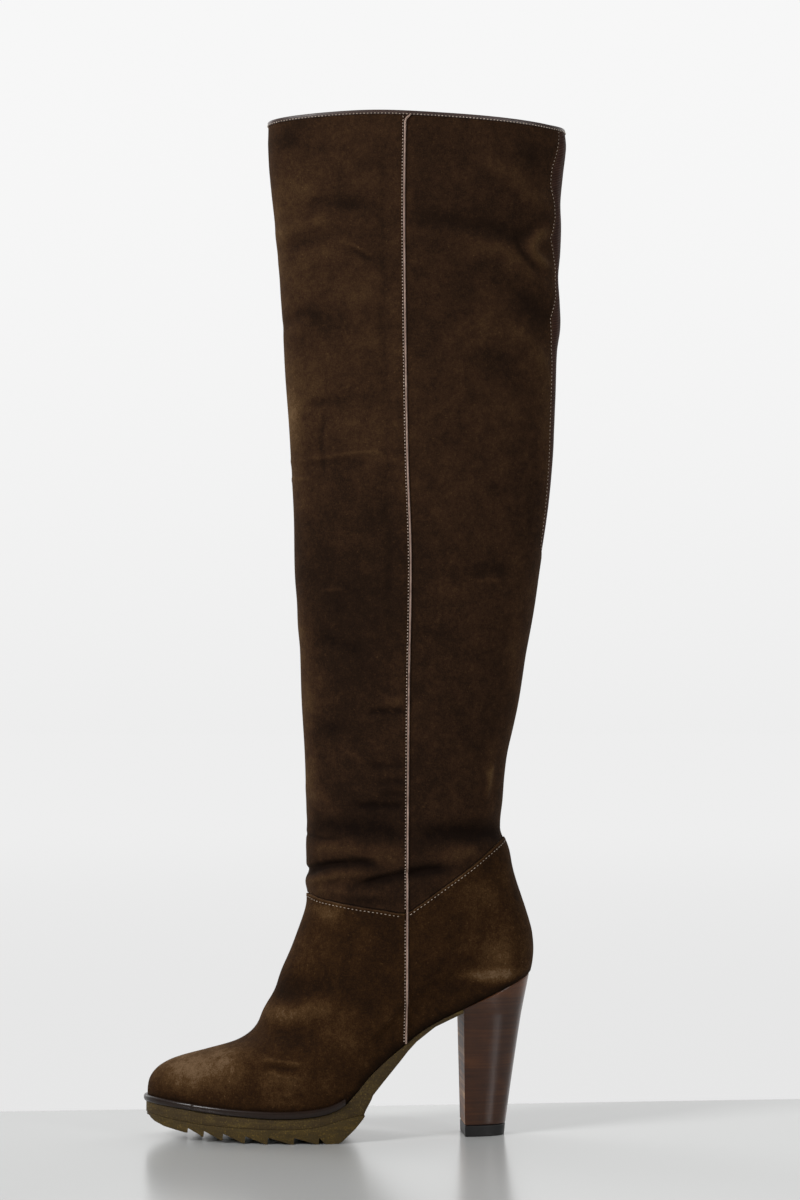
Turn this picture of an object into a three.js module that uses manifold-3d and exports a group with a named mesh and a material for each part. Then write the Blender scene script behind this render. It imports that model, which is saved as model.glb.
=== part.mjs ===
// A high-heeled, knee-high suede boot for the left foot, empty and standing on its sole.
// Millimetres. The toe points to -X, the heel is at +X, the outer side of the leg faces -Y and +Z is up.
// The floor is z = 0, and the middle of the boot's footprint is x = y = 0.

import * as THREE from "three";
import { mergeVertices } from "three/addons/utils/BufferGeometryUtils.js";
import Module from "manifold-3d";

const wasm = await Module();
wasm.setup();

// ---------------------------------------------------------------- driving dimensions

const WALL = 2.0; // suede and lining together
const GAP = 0.3; // clearance between pieces that meet
const COLLAR_CROWN = 2.0; // how much higher the collar's edge is at the sides of the leg
const CROWN_LEVELS = 5; // levels below the collar over which that dies away
const BINDING_HEIGHT = 4.4; // leather edging round the collar
const BINDING_PROUD = 0.5; // how far the edging stands out from the shaft, inside and out
const GUSSET_SUNK = 0.4; // how far the stretch insert lies under the shaft's surface
const GUSSET_WALL = 1.4;
const INSOLE_THICK = 3.0;
const RAND_LEVEL = 0.62; // level of the upper that the rand's top edge reaches
const RAND_FACETS = 10; // facets of the upper, each way from the toe, that the rand goes round
const HEEL_FRONT_X = 64.2; // plane of the heel's breast at the heel seat
const LIFT_TOP = 7.2; // height of the rubber top piece under the heel
const AROUND = 40; // facets round the upper

// The upper is a stack of closed level lines, numbered by their row here. Each runs from a point on the
// ridge of the toe, instep and shin (front) to a point on the heel and calf (back).
// half: half-width of the level as an ellipse.   ownShape: 0 follows the sole's outline, 1 the ellipse.
// bulge: how much wider than the sole's outline.  bow: how much of the sole's curve the level keeps.
const LEVELS = [
  { frontX: -129.0, frontZ: 21.9, backX: 108.0, backZ: 100.8, half: 38.0, ownShape: 0.0, bulge: 0.0, bow: 1.0 },
  { frontX: -129.4, frontZ: 28.5, backX: 109.0, backZ: 105.2, half: 38.0, ownShape: 0.02, bulge: 0.035, bow: 0.95 },
  { frontX: -127.9, frontZ: 35.8, backX: 109.6, backZ: 109.6, half: 38.0, ownShape: 0.06, bulge: 0.055, bow: 0.9 },
  { frontX: -123.6, frontZ: 41.6, backX: 109.9, backZ: 114.0, half: 38.0, ownShape: 0.12, bulge: 0.06, bow: 0.85 },
  { frontX: -117.2, frontZ: 45.8, backX: 109.8, backZ: 118.3, half: 37.8, ownShape: 0.2, bulge: 0.06, bow: 0.79 },
  { frontX: -109.0, frontZ: 48.9, backX: 109.4, backZ: 122.6, half: 37.6, ownShape: 0.28, bulge: 0.055, bow: 0.72 },
  { frontX: -94.4, frontZ: 52.8, backX: 108.7, backZ: 127.0, half: 37.4, ownShape: 0.37, bulge: 0.05, bow: 0.64 },
  { frontX: -79.5, frontZ: 57.4, backX: 107.5, backZ: 131.6, half: 37.2, ownShape: 0.47, bulge: 0.04, bow: 0.55 },
  { frontX: -69.3, frontZ: 62.8, backX: 106.0, backZ: 136.6, half: 37.0, ownShape: 0.57, bulge: 0.03, bow: 0.46 },
  { frontX: -61.6, frontZ: 70.8, backX: 104.2, backZ: 142.2, half: 36.6, ownShape: 0.67, bulge: 0.02, bow: 0.37 },
  { frontX: -55.0, frontZ: 83.4, backX: 101.9, backZ: 149.0, half: 35.8, ownShape: 0.77, bulge: 0.01, bow: 0.27 },
  { frontX: -47.0, frontZ: 101.0, backX: 99.0, backZ: 157.6, half: 34.6, ownShape: 0.88, bulge: 0.0, bow: 0.17 },
  { frontX: -39.0, frontZ: 121.0, backX: 96.0, backZ: 168.0, half: 33.6, ownShape: 0.96, bulge: 0.0, bow: 0.08 },
  { frontX: -31.8, frontZ: 144.0, backX: 92.4, backZ: 181.4, half: 33.0, ownShape: 1.0, bulge: 0.0, bow: 0.02 },
  { frontX: -31.4, frontZ: 158.0, backX: 89.4, backZ: 190.6, half: 33.0, ownShape: 1.0, bulge: 0.0, bow: 0.0 },
  { frontX: -31.2, frontZ: 176.0, backX: 88.9, backZ: 202.0, half: 33.2, ownShape: 1.0, bulge: 0.0, bow: 0.0 },
  { frontX: -31.9, frontZ: 210.0, backX: 92.0, backZ: 224.0, half: 33.8, ownShape: 1.0, bulge: 0.0, bow: 0.0 },
  { frontX: -34.0, frontZ: 255.0, backX: 98.8, backZ: 260.0, half: 34.6, ownShape: 1.0, bulge: 0.0, bow: 0.0 },
  { frontX: -36.4, frontZ: 305.0, backX: 107.0, backZ: 306.0, half: 35.8, ownShape: 1.0, bulge: 0.0, bow: 0.0 },
  { frontX: -38.8, frontZ: 357.0, backX: 115.0, backZ: 357.0, half: 37.0, ownShape: 1.0, bulge: 0.0, bow: 0.0 },
  { frontX: -41.2, frontZ: 409.0, backX: 121.0, backZ: 408.0, half: 38.0, ownShape: 1.0, bulge: 0.0, bow: 0.0 },
  { frontX: -44.4, frontZ: 460.0, backX: 124.3, backZ: 458.5, half: 39.0, ownShape: 1.0, bulge: 0.0, bow: 0.0 },
  { frontX: -47.5, frontZ: 510.0, backX: 126.6, backZ: 508.0, half: 39.6, ownShape: 1.0, bulge: 0.0, bow: 0.0 },
  { frontX: -51.0, frontZ: 560.0, backX: 128.2, backZ: 557.5, half: 40.0, ownShape: 1.0, bulge: 0.0, bow: 0.0 },
  { frontX: -54.8, frontZ: 604.0, backX: 130.0, backZ: 601.0, half: 40.0, ownShape: 1.0, bulge: 0.0, bow: 0.0 },
  { frontX: -56.4, frontZ: 630.6, backX: 131.3, backZ: 627.4, half: 40.0, ownShape: 1.0, bulge: 0.0, bow: 0.0 },
];
const TOP_LEVEL = LEVELS.length - 1;
const FINE_LEVELS = 13; // levels below this one, on the foot, are spaced twice as closely

// Outline of the sole in plan, against along (0 at the toe, 1 at the back of the heel): widths of the
// outer and inner halves before they are rounded off at both ends, and the sideways swing of the middle.
const OUTLINE = [
  { along: 0.0, outer: 41.5, inner: 41.0, swing: 7.0 },
  { along: 0.1, outer: 42.6, inner: 41.8, swing: 5.7 },
  { along: 0.2, outer: 43.2, inner: 41.8, swing: 3.9 },
  { along: 0.32, outer: 43.0, inner: 40.6, swing: 1.9 },
  { along: 0.42, outer: 40.6, inner: 36.8, swing: 0.6 },
  { along: 0.52, outer: 36.6, inner: 31.6, swing: -0.6 },
  { along: 0.63, outer: 32.2, inner: 28.2, swing: -1.0 },
  { along: 0.75, outer: 30.8, inner: 29.2, swing: -0.6 },
  { along: 0.86, outer: 34.8, inner: 34.0, swing: 0.0 },
  { along: 0.95, outer: 46.5, inner: 46.5, swing: 0.0 },
  { along: 1.0, outer: 52.0, inner: 52.0, swing: 0.0 },
];

// Seat of the upper, seen from the side: the toe springs up, the ball lies low and the arch climbs to the
// heel seat.
const SEAT = [
  { x: -131.0, z: 22.2 },
  { x: -119.0, z: 20.9 },
  { x: -102.0, z: 19.0 },
  { x: -84.0, z: 17.1 },
  { x: -66.0, z: 15.8 },
  { x: -48.0, z: 15.3 },
  { x: -33.0, z: 16.0 },
  { x: -21.0, z: 18.0 },
  { x: -11.0, z: 22.4 },
  { x: -3.0, z: 30.0 },
  { x: 4.0, z: 38.4 },
  { x: 13.0, z: 47.0 },
  { x: 24.0, z: 56.0 },
  { x: 36.0, z: 65.2 },
  { x: 48.0, z: 72.2 },
  { x: 61.5, z: 78.4 },
  { x: 74.0, z: 84.2 },
  { x: 90.0, z: 91.8 },
  { x: 110.0, z: 101.8 },
];

// Line where the outsole meets the platform above it.
const GROOVE = [
  { x: -132.0, z: 15.6 },
  { x: -119.0, z: 13.5 },
  { x: -105.0, z: 11.5 },
  { x: -90.0, z: 10.2 },
  { x: -72.0, z: 9.3 },
  { x: -54.0, z: 8.9 },
  { x: -38.0, z: 9.1 },
  { x: -26.0, z: 10.4 },
  { x: -14.0, z: 13.6 },
  { x: -5.0, z: 15.8 },
  { x: 3.0, z: 16.6 },
];

// Underside of the platform from its back edge, up the arch, to the heel's breast.
const ARCH = [
  { x: 1.6, z: 16.4 },
  { x: 3.4, z: 20.4 },
  { x: 6.4, z: 25.8 },
  { x: 7.4, z: 28.4 },
  { x: 14.6, z: 37.1 },
  { x: 24.0, z: 48.2 },
  { x: 29.2, z: 54.6 },
  { x: 34.6, z: 60.2 },
  { x: 46.0, z: 68.8 },
  { x: 63.6, z: 76.8 },
];

// Saw teeth under the forefoot: each drops to a tip and steps straight back up on its heel side.
const TEETH = [
  { tipX: -105.1, tipZ: 5.3, step: 1.7 },
  { tipX: -95.4, tipZ: 3.5, step: 2.2 },
  { tipX: -83.9, tipZ: 1.7, step: 2.9 },
  { tipX: -70.6, tipZ: 0.4, step: 3.1 },
  { tipX: -57.0, tipZ: 0.0, step: 3.0 },
  { tipX: -41.2, tipZ: 0.0, step: 2.9 },
  { tipX: -26.0, tipZ: 0.0, step: 2.9 },
];
const TOOTH_FLAT = 1.6; // worn flat on each tip
const SOLE_TOE = [
  { x: -128.5, z: 13.4 },
  { x: -127.6, z: 12.2 },
  { x: -125.4, z: 10.6 },
  { x: -119.4, z: 8.2 },
  { x: -112.0, z: 6.5 },
];
const SOLE_BACK = [
  { x: -21.5, z: 0.0 },
  { x: -14.0, z: 0.0 },
  { x: -11.6, z: 1.3 },
  { x: -8.2, z: 4.4 },
  { x: -3.6, z: 8.7 },
  { x: 1.0, z: 14.2 },
  { x: 2.2, z: 16.1 },
];

// Stacked heel: a D-shaped section with a flat breast, against height.
const HEEL = [
  { z: 0.0, breastX: 65.6, backX: 91.6, half: 15.6 },
  { z: 7.0, breastX: 65.5, backX: 92.3, half: 16.0 },
  { z: 34.0, breastX: 65.0, backX: 96.2, half: 18.0 },
  { z: 64.0, breastX: 64.5, backX: 101.4, half: 20.8 },
  { z: 84.0, breastX: 64.3, backX: 105.0, half: 23.2 },
  { z: 102.0, breastX: HEEL_FRONT_X, backX: 108.4, half: 25.2 },
];
const HEEL_SQUARE = 2.5; // 2 is a half ellipse, more is squarer

// Seam round the ankle between the foot and the shaft, seen from the side.
const ANKLE_SEAM = [
  { x: -80.0, z: 153.0 },
  { x: -33.1, z: 150.2 },
  { x: -25.2, z: 146.6 },
  { x: -7.0, z: 142.2 },
  { x: 11.5, z: 139.2 },
  { x: 27.6, z: 137.2 },
  { x: 36.0, z: 142.2 },
  { x: 48.3, z: 151.4 },
  { x: 66.7, z: 165.0 },
  { x: 79.0, z: 174.6 },
  { x: 88.3, z: 182.0 },
  { x: 130.0, z: 213.0 },
];

// Seam down each side of the shaft, between its front and back panels, seen from the side.
const SIDE_SEAM = [
  { z: 50.0, x: 27.6 },
  { z: 140.0, x: 28.4 },
  { z: 270.0, x: 29.1 },
  { z: 355.0, x: 30.2 },
  { z: 415.0, x: 28.2 },
  { z: 490.0, x: 26.8 },
  { z: 575.0, x: 26.0 },
  { z: 650.0, x: 27.0 },
];

// Stretch insert down the back of the shaft: half-widths against height.
const GUSSET = [
  { z: 360.0, half: 4.0 },
  { z: 368.0, half: 8.0 },
  { z: 480.0, half: 11.0 },
  { z: 650.0, half: 14.0 },
];

const COLOURS = {
  suede: { color: 0x3a2a1c, roughness: 0.95 },
  shaftSuede: { color: 0x33251a, roughness: 0.95 },
  binding: { color: 0x3d2a22, roughness: 0.45 },
  stretch: { color: 0x33201c, roughness: 0.8 },
  lining: { color: 0x6b4c33, roughness: 0.7 },
  rand: { color: 0x201b1a, roughness: 0.35 },
  crepe: { color: 0x4c3f28, roughness: 0.85 },
  outsole: { color: 0x574a2c, roughness: 0.85 },
  stackedLeather: { color: 0x4a3024, roughness: 0.4 },
  rubber: { color: 0x1a1817, roughness: 0.6 },
};

// ---------------------------------------------------------------- curves through the tables

// Smooth value at a fractional row of a table.
function atRow(rows, column, row) {
  const i = Math.max(0, Math.min(rows.length - 2, Math.floor(row)));
  const u = row - i;
  const p1 = rows[i][column];
  const p2 = rows[i + 1][column];
  const p0 = i > 0 ? rows[i - 1][column] : 2 * p1 - p2;
  const p3 = i + 2 < rows.length ? rows[i + 2][column] : 2 * p2 - p1;
  const a = 2 * p1;
  const b = p2 - p0;
  const c = 2 * p0 - 5 * p1 + 4 * p2 - p3;
  const d = 3 * p1 - p0 - 3 * p2 + p3;
  return 0.5 * (a + b * u + c * u * u + d * u * u * u);
}

// Smooth value of one column where another column, which rises down the table, has the given value.
function lookUp(rows, key, column, value) {
  let i = 0;
  while (i < rows.length - 2 && rows[i + 1][key] < value) i += 1;
  const span = rows[i + 1][key] - rows[i][key];
  const u = (value - rows[i][key]) / span;
  const slope = (j) => {
    const before = rows[Math.max(0, j - 1)];
    const after = rows[Math.min(rows.length - 1, j + 1)];
    return (after[column] - before[column]) / (after[key] - before[key]);
  };
  const h1 = 2 * u ** 3 - 3 * u ** 2 + 1;
  const h2 = u ** 3 - 2 * u ** 2 + u;
  const h3 = -2 * u ** 3 + 3 * u ** 2;
  const h4 = u ** 3 - u ** 2;
  const rise = h2 * slope(i) * span + h4 * slope(i + 1) * span;
  return h1 * rows[i][column] + h3 * rows[i + 1][column] + rise;
}

const seatZ = (x) => lookUp(SEAT, "x", "z", x);
const grooveZ = (x) => lookUp(GROOVE, "x", "z", x);

// ---------------------------------------------------------------- the last's surface

// Point of the upper's outer surface. angle: 0 at the toe and shin, 90 degrees on the outer side, 180 at
// the back and 270 on the inner side. level: a fractional row of LEVELS.
function lastPoint(angle, level) {
  const row = (column) => atRow(LEVELS, column, level);
  const along = (1 - Math.cos(angle)) / 2;
  const across = Math.sin(angle);
  const frontX = row("frontX");
  const frontZ = row("frontZ");
  const x = frontX + (row("backX") - frontX) * along;
  const straightZ = frontZ + (row("backZ") - frontZ) * along;
  const soleX = LEVELS[0].frontX + (LEVELS[0].backX - LEVELS[0].frontX) * along;
  const chordZ = LEVELS[0].frontZ + (LEVELS[0].backZ - LEVELS[0].frontZ) * along;
  const crown = COLLAR_CROWN * across ** 2 * Math.max(0, 1 - (TOP_LEVEL - level) / CROWN_LEVELS);
  const z = straightZ + row("bow") * (seatZ(soleX) - chordZ) + crown;
  const outline = lookUp(OUTLINE, "along", across >= 0 ? "outer" : "inner", along) * (1 + row("bulge"));
  const own = row("ownShape");
  const half = outline * (1 - own) + row("half") * own;
  const swing = lookUp(OUTLINE, "along", "swing", along) * (1 - own);
  return new THREE.Vector3(x, swing - half * across, z);
}

// The same point moved outwards. Near the seat and the collar it moves level, so those edges stay put.
function offsetPoint(angle, level, distance) {
  const step = 0.01;
  const low = Math.max(0, level - step);
  const high = Math.min(TOP_LEVEL, level + step);
  const round = lastPoint(angle + step, level).sub(lastPoint(angle - step, level));
  const up = lastPoint(angle, high).sub(lastPoint(angle, low));
  const normal = round.cross(up).normalize();
  const edge = Math.min(level, TOP_LEVEL - level, 1);
  normal.z *= edge;
  normal.normalize();
  return lastPoint(angle, level).addScaledVector(normal, distance);
}

function levelsBetween(from, to) {
  const list = [from];
  let next = Math.floor(from);
  while (next < to - 1e-6) {
    if (next > from + 0.2 && next < to - 0.2) list.push(next);
    next += next < FINE_LEVELS ? 0.5 : 1;
  }
  list.push(to);
  return list;
}

// ---------------------------------------------------------------- solids

function solidFromTriangles(points, triangles) {
  const vertProperties = new Float32Array(points.flatMap((p) => [p.x, p.y, p.z]));
  const triVerts = new Uint32Array(triangles.flat());
  return new wasm.Manifold(new wasm.Mesh({ numProp: 3, vertProperties, triVerts }));
}

function solidFromGeometry(geometry) {
  geometry.deleteAttribute("normal");
  geometry.deleteAttribute("uv");
  const merged = mergeVertices(geometry, 1e-4);
  const vertProperties = new Float32Array(merged.attributes.position.array);
  const triVerts = new Uint32Array(merged.index.array);
  return new wasm.Manifold(new wasm.Mesh({ numProp: 3, vertProperties, triVerts }));
}

function geometryFromSolid(solid) {
  const mesh = solid.getMesh();
  const geometry = new THREE.BufferGeometry();
  geometry.setAttribute("position", new THREE.BufferAttribute(new Float32Array(mesh.vertProperties), 3));
  geometry.setIndex(new THREE.BufferAttribute(new Uint32Array(mesh.triVerts), 1));
  geometry.computeVertexNormals();
  return geometry;
}

// Closed solid from rings of points, joined ring to ring; the last ring joins the first again.
function solidFromLoops(loops) {
  const count = loops[0].length;
  const triangles = [];
  loops.forEach((loop, i) => {
    const next = (i + 1) % loops.length;
    for (let j = 0; j < count; j += 1) {
      const k = (j + 1) % count;
      const a = i * count + j;
      const b = i * count + k;
      const c = next * count + k;
      const d = next * count + j;
      triangles.push([a, b, c], [a, c, d]);
    }
  });
  return solidFromTriangles(loops.flat(), triangles);
}

// Wall between two offsets of the last's surface, open at both ends of its run of levels.
function shell(outerOffset, innerOffset, fromLevel, toLevel) {
  const ring = (level, distance) =>
    Array.from({ length: AROUND }, (_, j) => offsetPoint((2 * Math.PI * j) / AROUND, level, distance));
  const levels = levelsBetween(fromLevel, toLevel);
  const outside = levels.map((level) => ring(level, outerOffset));
  const inside = levels.map((level) => ring(level, innerOffset)).reverse();
  return solidFromLoops([...outside, ...inside]);
}

// Prism of a side-view outline, right across the boot.
function sidePrism(outline) {
  const width = 200;
  const shape = new THREE.Shape(outline.map((p) => new THREE.Vector2(p.x, p.z)));
  const geometry = new THREE.ExtrudeGeometry(shape, { depth: width, bevelEnabled: false });
  geometry.rotateX(Math.PI / 2);
  geometry.translate(0, width / 2, 0);
  return solidFromGeometry(geometry);
}

// Prism of a plan outline, from below the floor to above the heel seat.
function planPrism(outline) {
  const height = 200;
  const shape = new THREE.Shape(outline.map((p) => new THREE.Vector2(p.x, p.y)));
  const geometry = new THREE.ExtrudeGeometry(shape, { depth: height, bevelEnabled: false });
  geometry.translate(0, 0, -height / 4);
  return solidFromGeometry(geometry);
}

// Outline of the seat in plan, moved outwards by a distance that may change along the foot.
function seatOutline(distanceAt) {
  return Array.from({ length: 60 }, (_, j) => {
    const angle = (2 * Math.PI * j) / 60;
    return offsetPoint(angle, 0, distanceAt(lastPoint(angle, 0).x));
  });
}

function steps(from, to, count) {
  return Array.from({ length: count + 1 }, (_, i) => from + ((to - from) * i) / count);
}

// Places along the seat where the upper's lower edge has its corners, so that faceted pieces fit it.
const seatStations = steps(0, Math.PI, AROUND / 2).map((angle) => lastPoint(angle, 0).x);

function facetedSeatZ(x) {
  let i = 0;
  while (i < seatStations.length - 2 && seatStations[i + 1] < x) i += 1;
  const u = (x - seatStations[i]) / (seatStations[i + 1] - seatStations[i]);
  return seatZ(seatStations[i]) * (1 - u) + seatZ(seatStations[i + 1]) * u;
}

// ---------------------------------------------------------------- the upper: foot, shaft, gusset, binding

const bindingLevel = TOP_LEVEL - BINDING_HEIGHT / (LEVELS[TOP_LEVEL].frontZ - LEVELS[TOP_LEVEL - 1].frontZ);
const gapLevel = bindingLevel - GAP / (LEVELS[TOP_LEVEL].frontZ - LEVELS[TOP_LEVEL - 1].frontZ);
const wholeUpper = shell(0, -WALL, 0, gapLevel);

function seamSide(shift, farZ) {
  const line = ANKLE_SEAM.map((p) => ({ x: p.x, z: p.z + shift }));
  const first = { x: -200, z: line[0].z };
  const last = { x: 200, z: line[line.length - 1].z };
  return sidePrism([{ x: -200, z: farZ }, first, ...line, last, { x: 200, z: farZ }]);
}

function gussetPrism(shrink) {
  const depth = 70;
  const right = GUSSET.map((p, i) => new THREE.Vector2(p.half - shrink, p.z + (i === 0 ? shrink : 0)));
  const left = right.map((p) => new THREE.Vector2(-p.x, p.y)).reverse();
  const geometry = new THREE.ExtrudeGeometry(new THREE.Shape([...right, ...left]), { depth, bevelEnabled: false });
  geometry.rotateX(Math.PI / 2);
  geometry.rotateZ(Math.PI / 2);
  geometry.translate(80, 0, 0);
  return solidFromGeometry(geometry);
}

const makeUpper = () => wholeUpper.intersect(seamSide(-GAP / 2, -50));

const wholeShaft = wholeUpper.intersect(seamSide(GAP / 2, 700));

// Everything on one side of the side seams, from a far x up to a small distance off the seam line.
function panelSide(shift, farX) {
  const line = SIDE_SEAM.map((p) => ({ x: p.x + shift, z: p.z }));
  const corners = [{ x: farX, z: line[line.length - 1].z }, { x: farX, z: line[0].z }];
  return sidePrism(farX > 0 ? [...line, ...corners].reverse() : [...line, ...corners]);
}

const makeShaftFront = () => wholeShaft.intersect(panelSide(-GAP / 2, -200));

const wholeBack = wholeShaft.intersect(panelSide(GAP / 2, 200)).subtract(gussetPrism(0));

// Everything on one side of the middle plane, a small distance off it: side 1 is inner, side -1 is outer.
function halfSpace(side) {
  const box = new THREE.BoxGeometry(400, 200, 800);
  box.translate(0, side * (100 + GAP / 2), 350);
  return solidFromGeometry(box);
}

const makeShaftBack = (side) => wholeBack.intersect(halfSpace(side));

function makeGusset() {
  const insert = shell(-GUSSET_SUNK, -GUSSET_SUNK - GUSSET_WALL, 17, gapLevel);
  return insert.intersect(gussetPrism(GAP));
}

const makeBinding = () => shell(BINDING_PROUD, -WALL - BINDING_PROUD, bindingLevel, TOP_LEVEL);

// ---------------------------------------------------------------- under the foot

function makeInsole() {
  const bottom = seatStations.map((x) => ({ x, z: seatZ(x) }));
  const top = bottom.map((p) => ({ x: p.x, z: p.z + INSOLE_THICK })).reverse();
  const inset = -(WALL + 2 * GAP);
  return sidePrism([...bottom, ...top]).intersect(planPrism(seatOutline(() => inset)));
}

// The rand is a strip round the foot of the upper, from one side of the arch, round the toe, to the other.
function makeRand() {
  const end = (2 * Math.PI * RAND_FACETS) / AROUND;
  const section = [
    { level: 0, out: GAP },
    { level: 0, out: 2.2 },
    { level: RAND_LEVEL * 0.35, out: 2.7 },
    { level: RAND_LEVEL * 0.75, out: 2.4 },
    { level: RAND_LEVEL, out: 1.5 },
    { level: RAND_LEVEL, out: GAP },
    { level: RAND_LEVEL * 0.5, out: GAP },
  ];
  const stations = steps(end, -end, 2 * RAND_FACETS);
  const points = stations.flatMap((angle) =>
    section.map((s) => {
      const point = offsetPoint(angle, s.level, s.out);
      if (s.level === 0) point.z = facetedSeatZ(point.x);
      return point;
    }),
  );
  const size = section.length;
  const triangles = [];
  for (let i = 0; i + 1 < stations.length; i += 1) {
    for (let j = 0; j < size; j += 1) {
      const k = (j + 1) % size;
      const a = i * size + j;
      const b = i * size + k;
      const c = (i + 1) * size + k;
      const d = (i + 1) * size + j;
      triangles.push([a, b, c], [a, c, d]);
    }
  }
  const lastStart = (stations.length - 1) * size;
  for (let j = 1; j + 1 < size; j += 1) {
    triangles.push([0, j + 1, j], [lastStart, lastStart + j, lastStart + j + 1]);
  }
  return solidFromTriangles(points, triangles);
}

// The platform's edge stands out under the rand and draws in to the upper's own edge along the arch.
const platformEdge = (x) => 0.1 + 1.3 * (1 - THREE.MathUtils.smoothstep(x, -12, 4));

function makePlatform() {
  const endX = ARCH[ARCH.length - 1].x;
  const xs = [-130.4, ...seatStations.filter((x) => x < endX - 2), endX];
  const top = xs.map((x) => ({ x, z: facetedSeatZ(x) - GAP }));
  const under = steps(ARCH[0].x, -128.8, 22).map((x) => ({ x, z: grooveZ(x) }));
  const arch = [...ARCH].reverse();
  return sidePrism([...top, ...arch, ...under.slice(1)]).intersect(planPrism(seatOutline(platformEdge)));
}

function makeOutsole() {
  const bottom = [...SOLE_TOE];
  TEETH.forEach((tooth, i) => {
    const next = TEETH[i + 1] ?? { tipX: SOLE_BACK[0].x, tipZ: SOLE_BACK[0].z };
    const rootZ = tooth.tipZ + tooth.step;
    const bellyX = tooth.tipX + 0.45 * (next.tipX - tooth.tipX);
    const bellyZ = rootZ + 0.62 * (next.tipZ - rootZ);
    bottom.push({ x: tooth.tipX - TOOTH_FLAT, z: tooth.tipZ });
    bottom.push({ x: tooth.tipX, z: tooth.tipZ });
    bottom.push({ x: tooth.tipX + 0.3, z: rootZ });
    bottom.push({ x: bellyX, z: bellyZ });
  });
  bottom.push(...SOLE_BACK);
  const top = steps(1.4, -128.8, 22).map((x) => ({ x, z: grooveZ(x) - GAP }));
  return sidePrism([...bottom, ...top]).intersect(planPrism(seatOutline(() => 1.9)));
}

// Corner points of the heel's D section, from the breast's inner edge round the back to its outer edge.
function heelSection(z, inset) {
  const breastX = lookUp(HEEL, "z", "breastX", z) + inset;
  const length = lookUp(HEEL, "z", "backX", z) - inset - breastX;
  const half = lookUp(HEEL, "z", "half", z) - inset;
  const power = 2 / HEEL_SQUARE;
  return steps(-90, 90, 24).map((degrees) => {
    const turn = (degrees * Math.PI) / 180;
    const back = Math.cos(turn) ** power;
    const side = Math.sign(turn) * Math.abs(Math.sin(turn)) ** power;
    return new THREE.Vector3(breastX + length * back, -half * side, z);
  });
}

// Closed block from stacked sections, closed off by a flat or curved face at each end.
function block(sections) {
  const count = sections[0].length;
  const points = sections.flat();
  const triangles = [];
  for (let i = 0; i + 1 < sections.length; i += 1) {
    for (let j = 0; j < count; j += 1) {
      const k = (j + 1) % count;
      const a = i * count + j;
      const b = i * count + k;
      triangles.push([a, b + count, b], [a, a + count, b + count]);
    }
  }
  const topStart = (sections.length - 1) * count;
  for (let j = 0; j < Math.floor(count / 2); j += 1) {
    const k = count - 1 - j;
    if (k - j < 2) break;
    triangles.push([j, j + 1, k], [topStart + j, topStart + k, topStart + j + 1]);
    if (k - 1 > j + 1) {
      triangles.push([j + 1, k - 1, k], [topStart + j + 1, topStart + k, topStart + k - 1]);
    }
  }
  return solidFromTriangles(points, triangles);
}

function makeHeel() {
  const heights = [LIFT_TOP, 20, 34, 49, 64, 76];
  const sections = heights.map((z) => heelSection(z, 0));
  const seat = heelSection(102, 0).map((p) => new THREE.Vector3(p.x, p.y, facetedSeatZ(p.x) - GAP));
  const shoulder = heelSection(88, 0).map((p) => new THREE.Vector3(p.x, p.y, 76 + 0.5 * (seatZ(p.x) - 76)));
  return block([...sections, shoulder, seat]);
}

const makeTopLift = () => block([0, LIFT_TOP - GAP].map((z) => heelSection(z, z > 0 ? 0 : 0.3)));

// ---------------------------------------------------------------- the boot

function piece(name, solid, colour) {
  const material = new THREE.MeshStandardMaterial({ metalness: 0, side: THREE.DoubleSide, ...COLOURS[colour] });
  const mesh = new THREE.Mesh(geometryFromSolid(solid), material);
  mesh.name = name;
  return mesh;
}

const boot = new THREE.Group();
boot.name = "knee_high_boot";
boot.add(
  piece("upper", makeUpper(), "suede"),
  piece("shaft_front", makeShaftFront(), "shaftSuede"),
  piece("shaft_back_outer", makeShaftBack(-1), "shaftSuede"),
  piece("shaft_back_inner", makeShaftBack(1), "shaftSuede"),
  piece("collar_binding", makeBinding(), "binding"),
  piece("back_gusset", makeGusset(), "stretch"),
  piece("insole", makeInsole(), "lining"),
  piece("rand", makeRand(), "rand"),
  piece("platform", makePlatform(), "crepe"),
  piece("outsole", makeOutsole(), "outsole"),
  piece("heel", makeHeel(), "stackedLeather"),
  piece("top_lift", makeTopLift(), "rubber"),
);

export default boot;
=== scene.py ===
"""Looks of the tall suede boot: panels, folds, seams, stitches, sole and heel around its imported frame.

The boot stands on its sole with the toe at -X, the outer side of the leg at -Y and up at +Z. Its sizes are
in millimetres, and points become metres only when a mesh is made. The studio's sizes are in metres.
"""

import math

import bpy
import numpy as np
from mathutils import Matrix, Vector


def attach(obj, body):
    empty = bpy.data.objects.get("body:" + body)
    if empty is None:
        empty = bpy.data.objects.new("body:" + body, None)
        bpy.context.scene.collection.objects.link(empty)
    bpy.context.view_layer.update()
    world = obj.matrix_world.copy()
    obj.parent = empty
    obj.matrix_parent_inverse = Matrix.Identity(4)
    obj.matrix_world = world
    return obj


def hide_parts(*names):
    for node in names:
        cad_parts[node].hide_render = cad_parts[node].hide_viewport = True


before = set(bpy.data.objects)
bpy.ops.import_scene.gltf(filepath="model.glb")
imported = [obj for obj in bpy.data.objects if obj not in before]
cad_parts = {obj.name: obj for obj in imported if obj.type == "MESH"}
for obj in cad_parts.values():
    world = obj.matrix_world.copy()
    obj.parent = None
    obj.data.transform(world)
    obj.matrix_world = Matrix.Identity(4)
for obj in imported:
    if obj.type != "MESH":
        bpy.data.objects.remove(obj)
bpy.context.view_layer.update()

MM = 0.001
PI = math.pi


def table(columns, rows):
    """Rows of numbers as a dictionary of named columns."""
    return dict(zip(columns.split(), np.array(rows, float).T))


# The last, as in the boot's own design.

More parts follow.
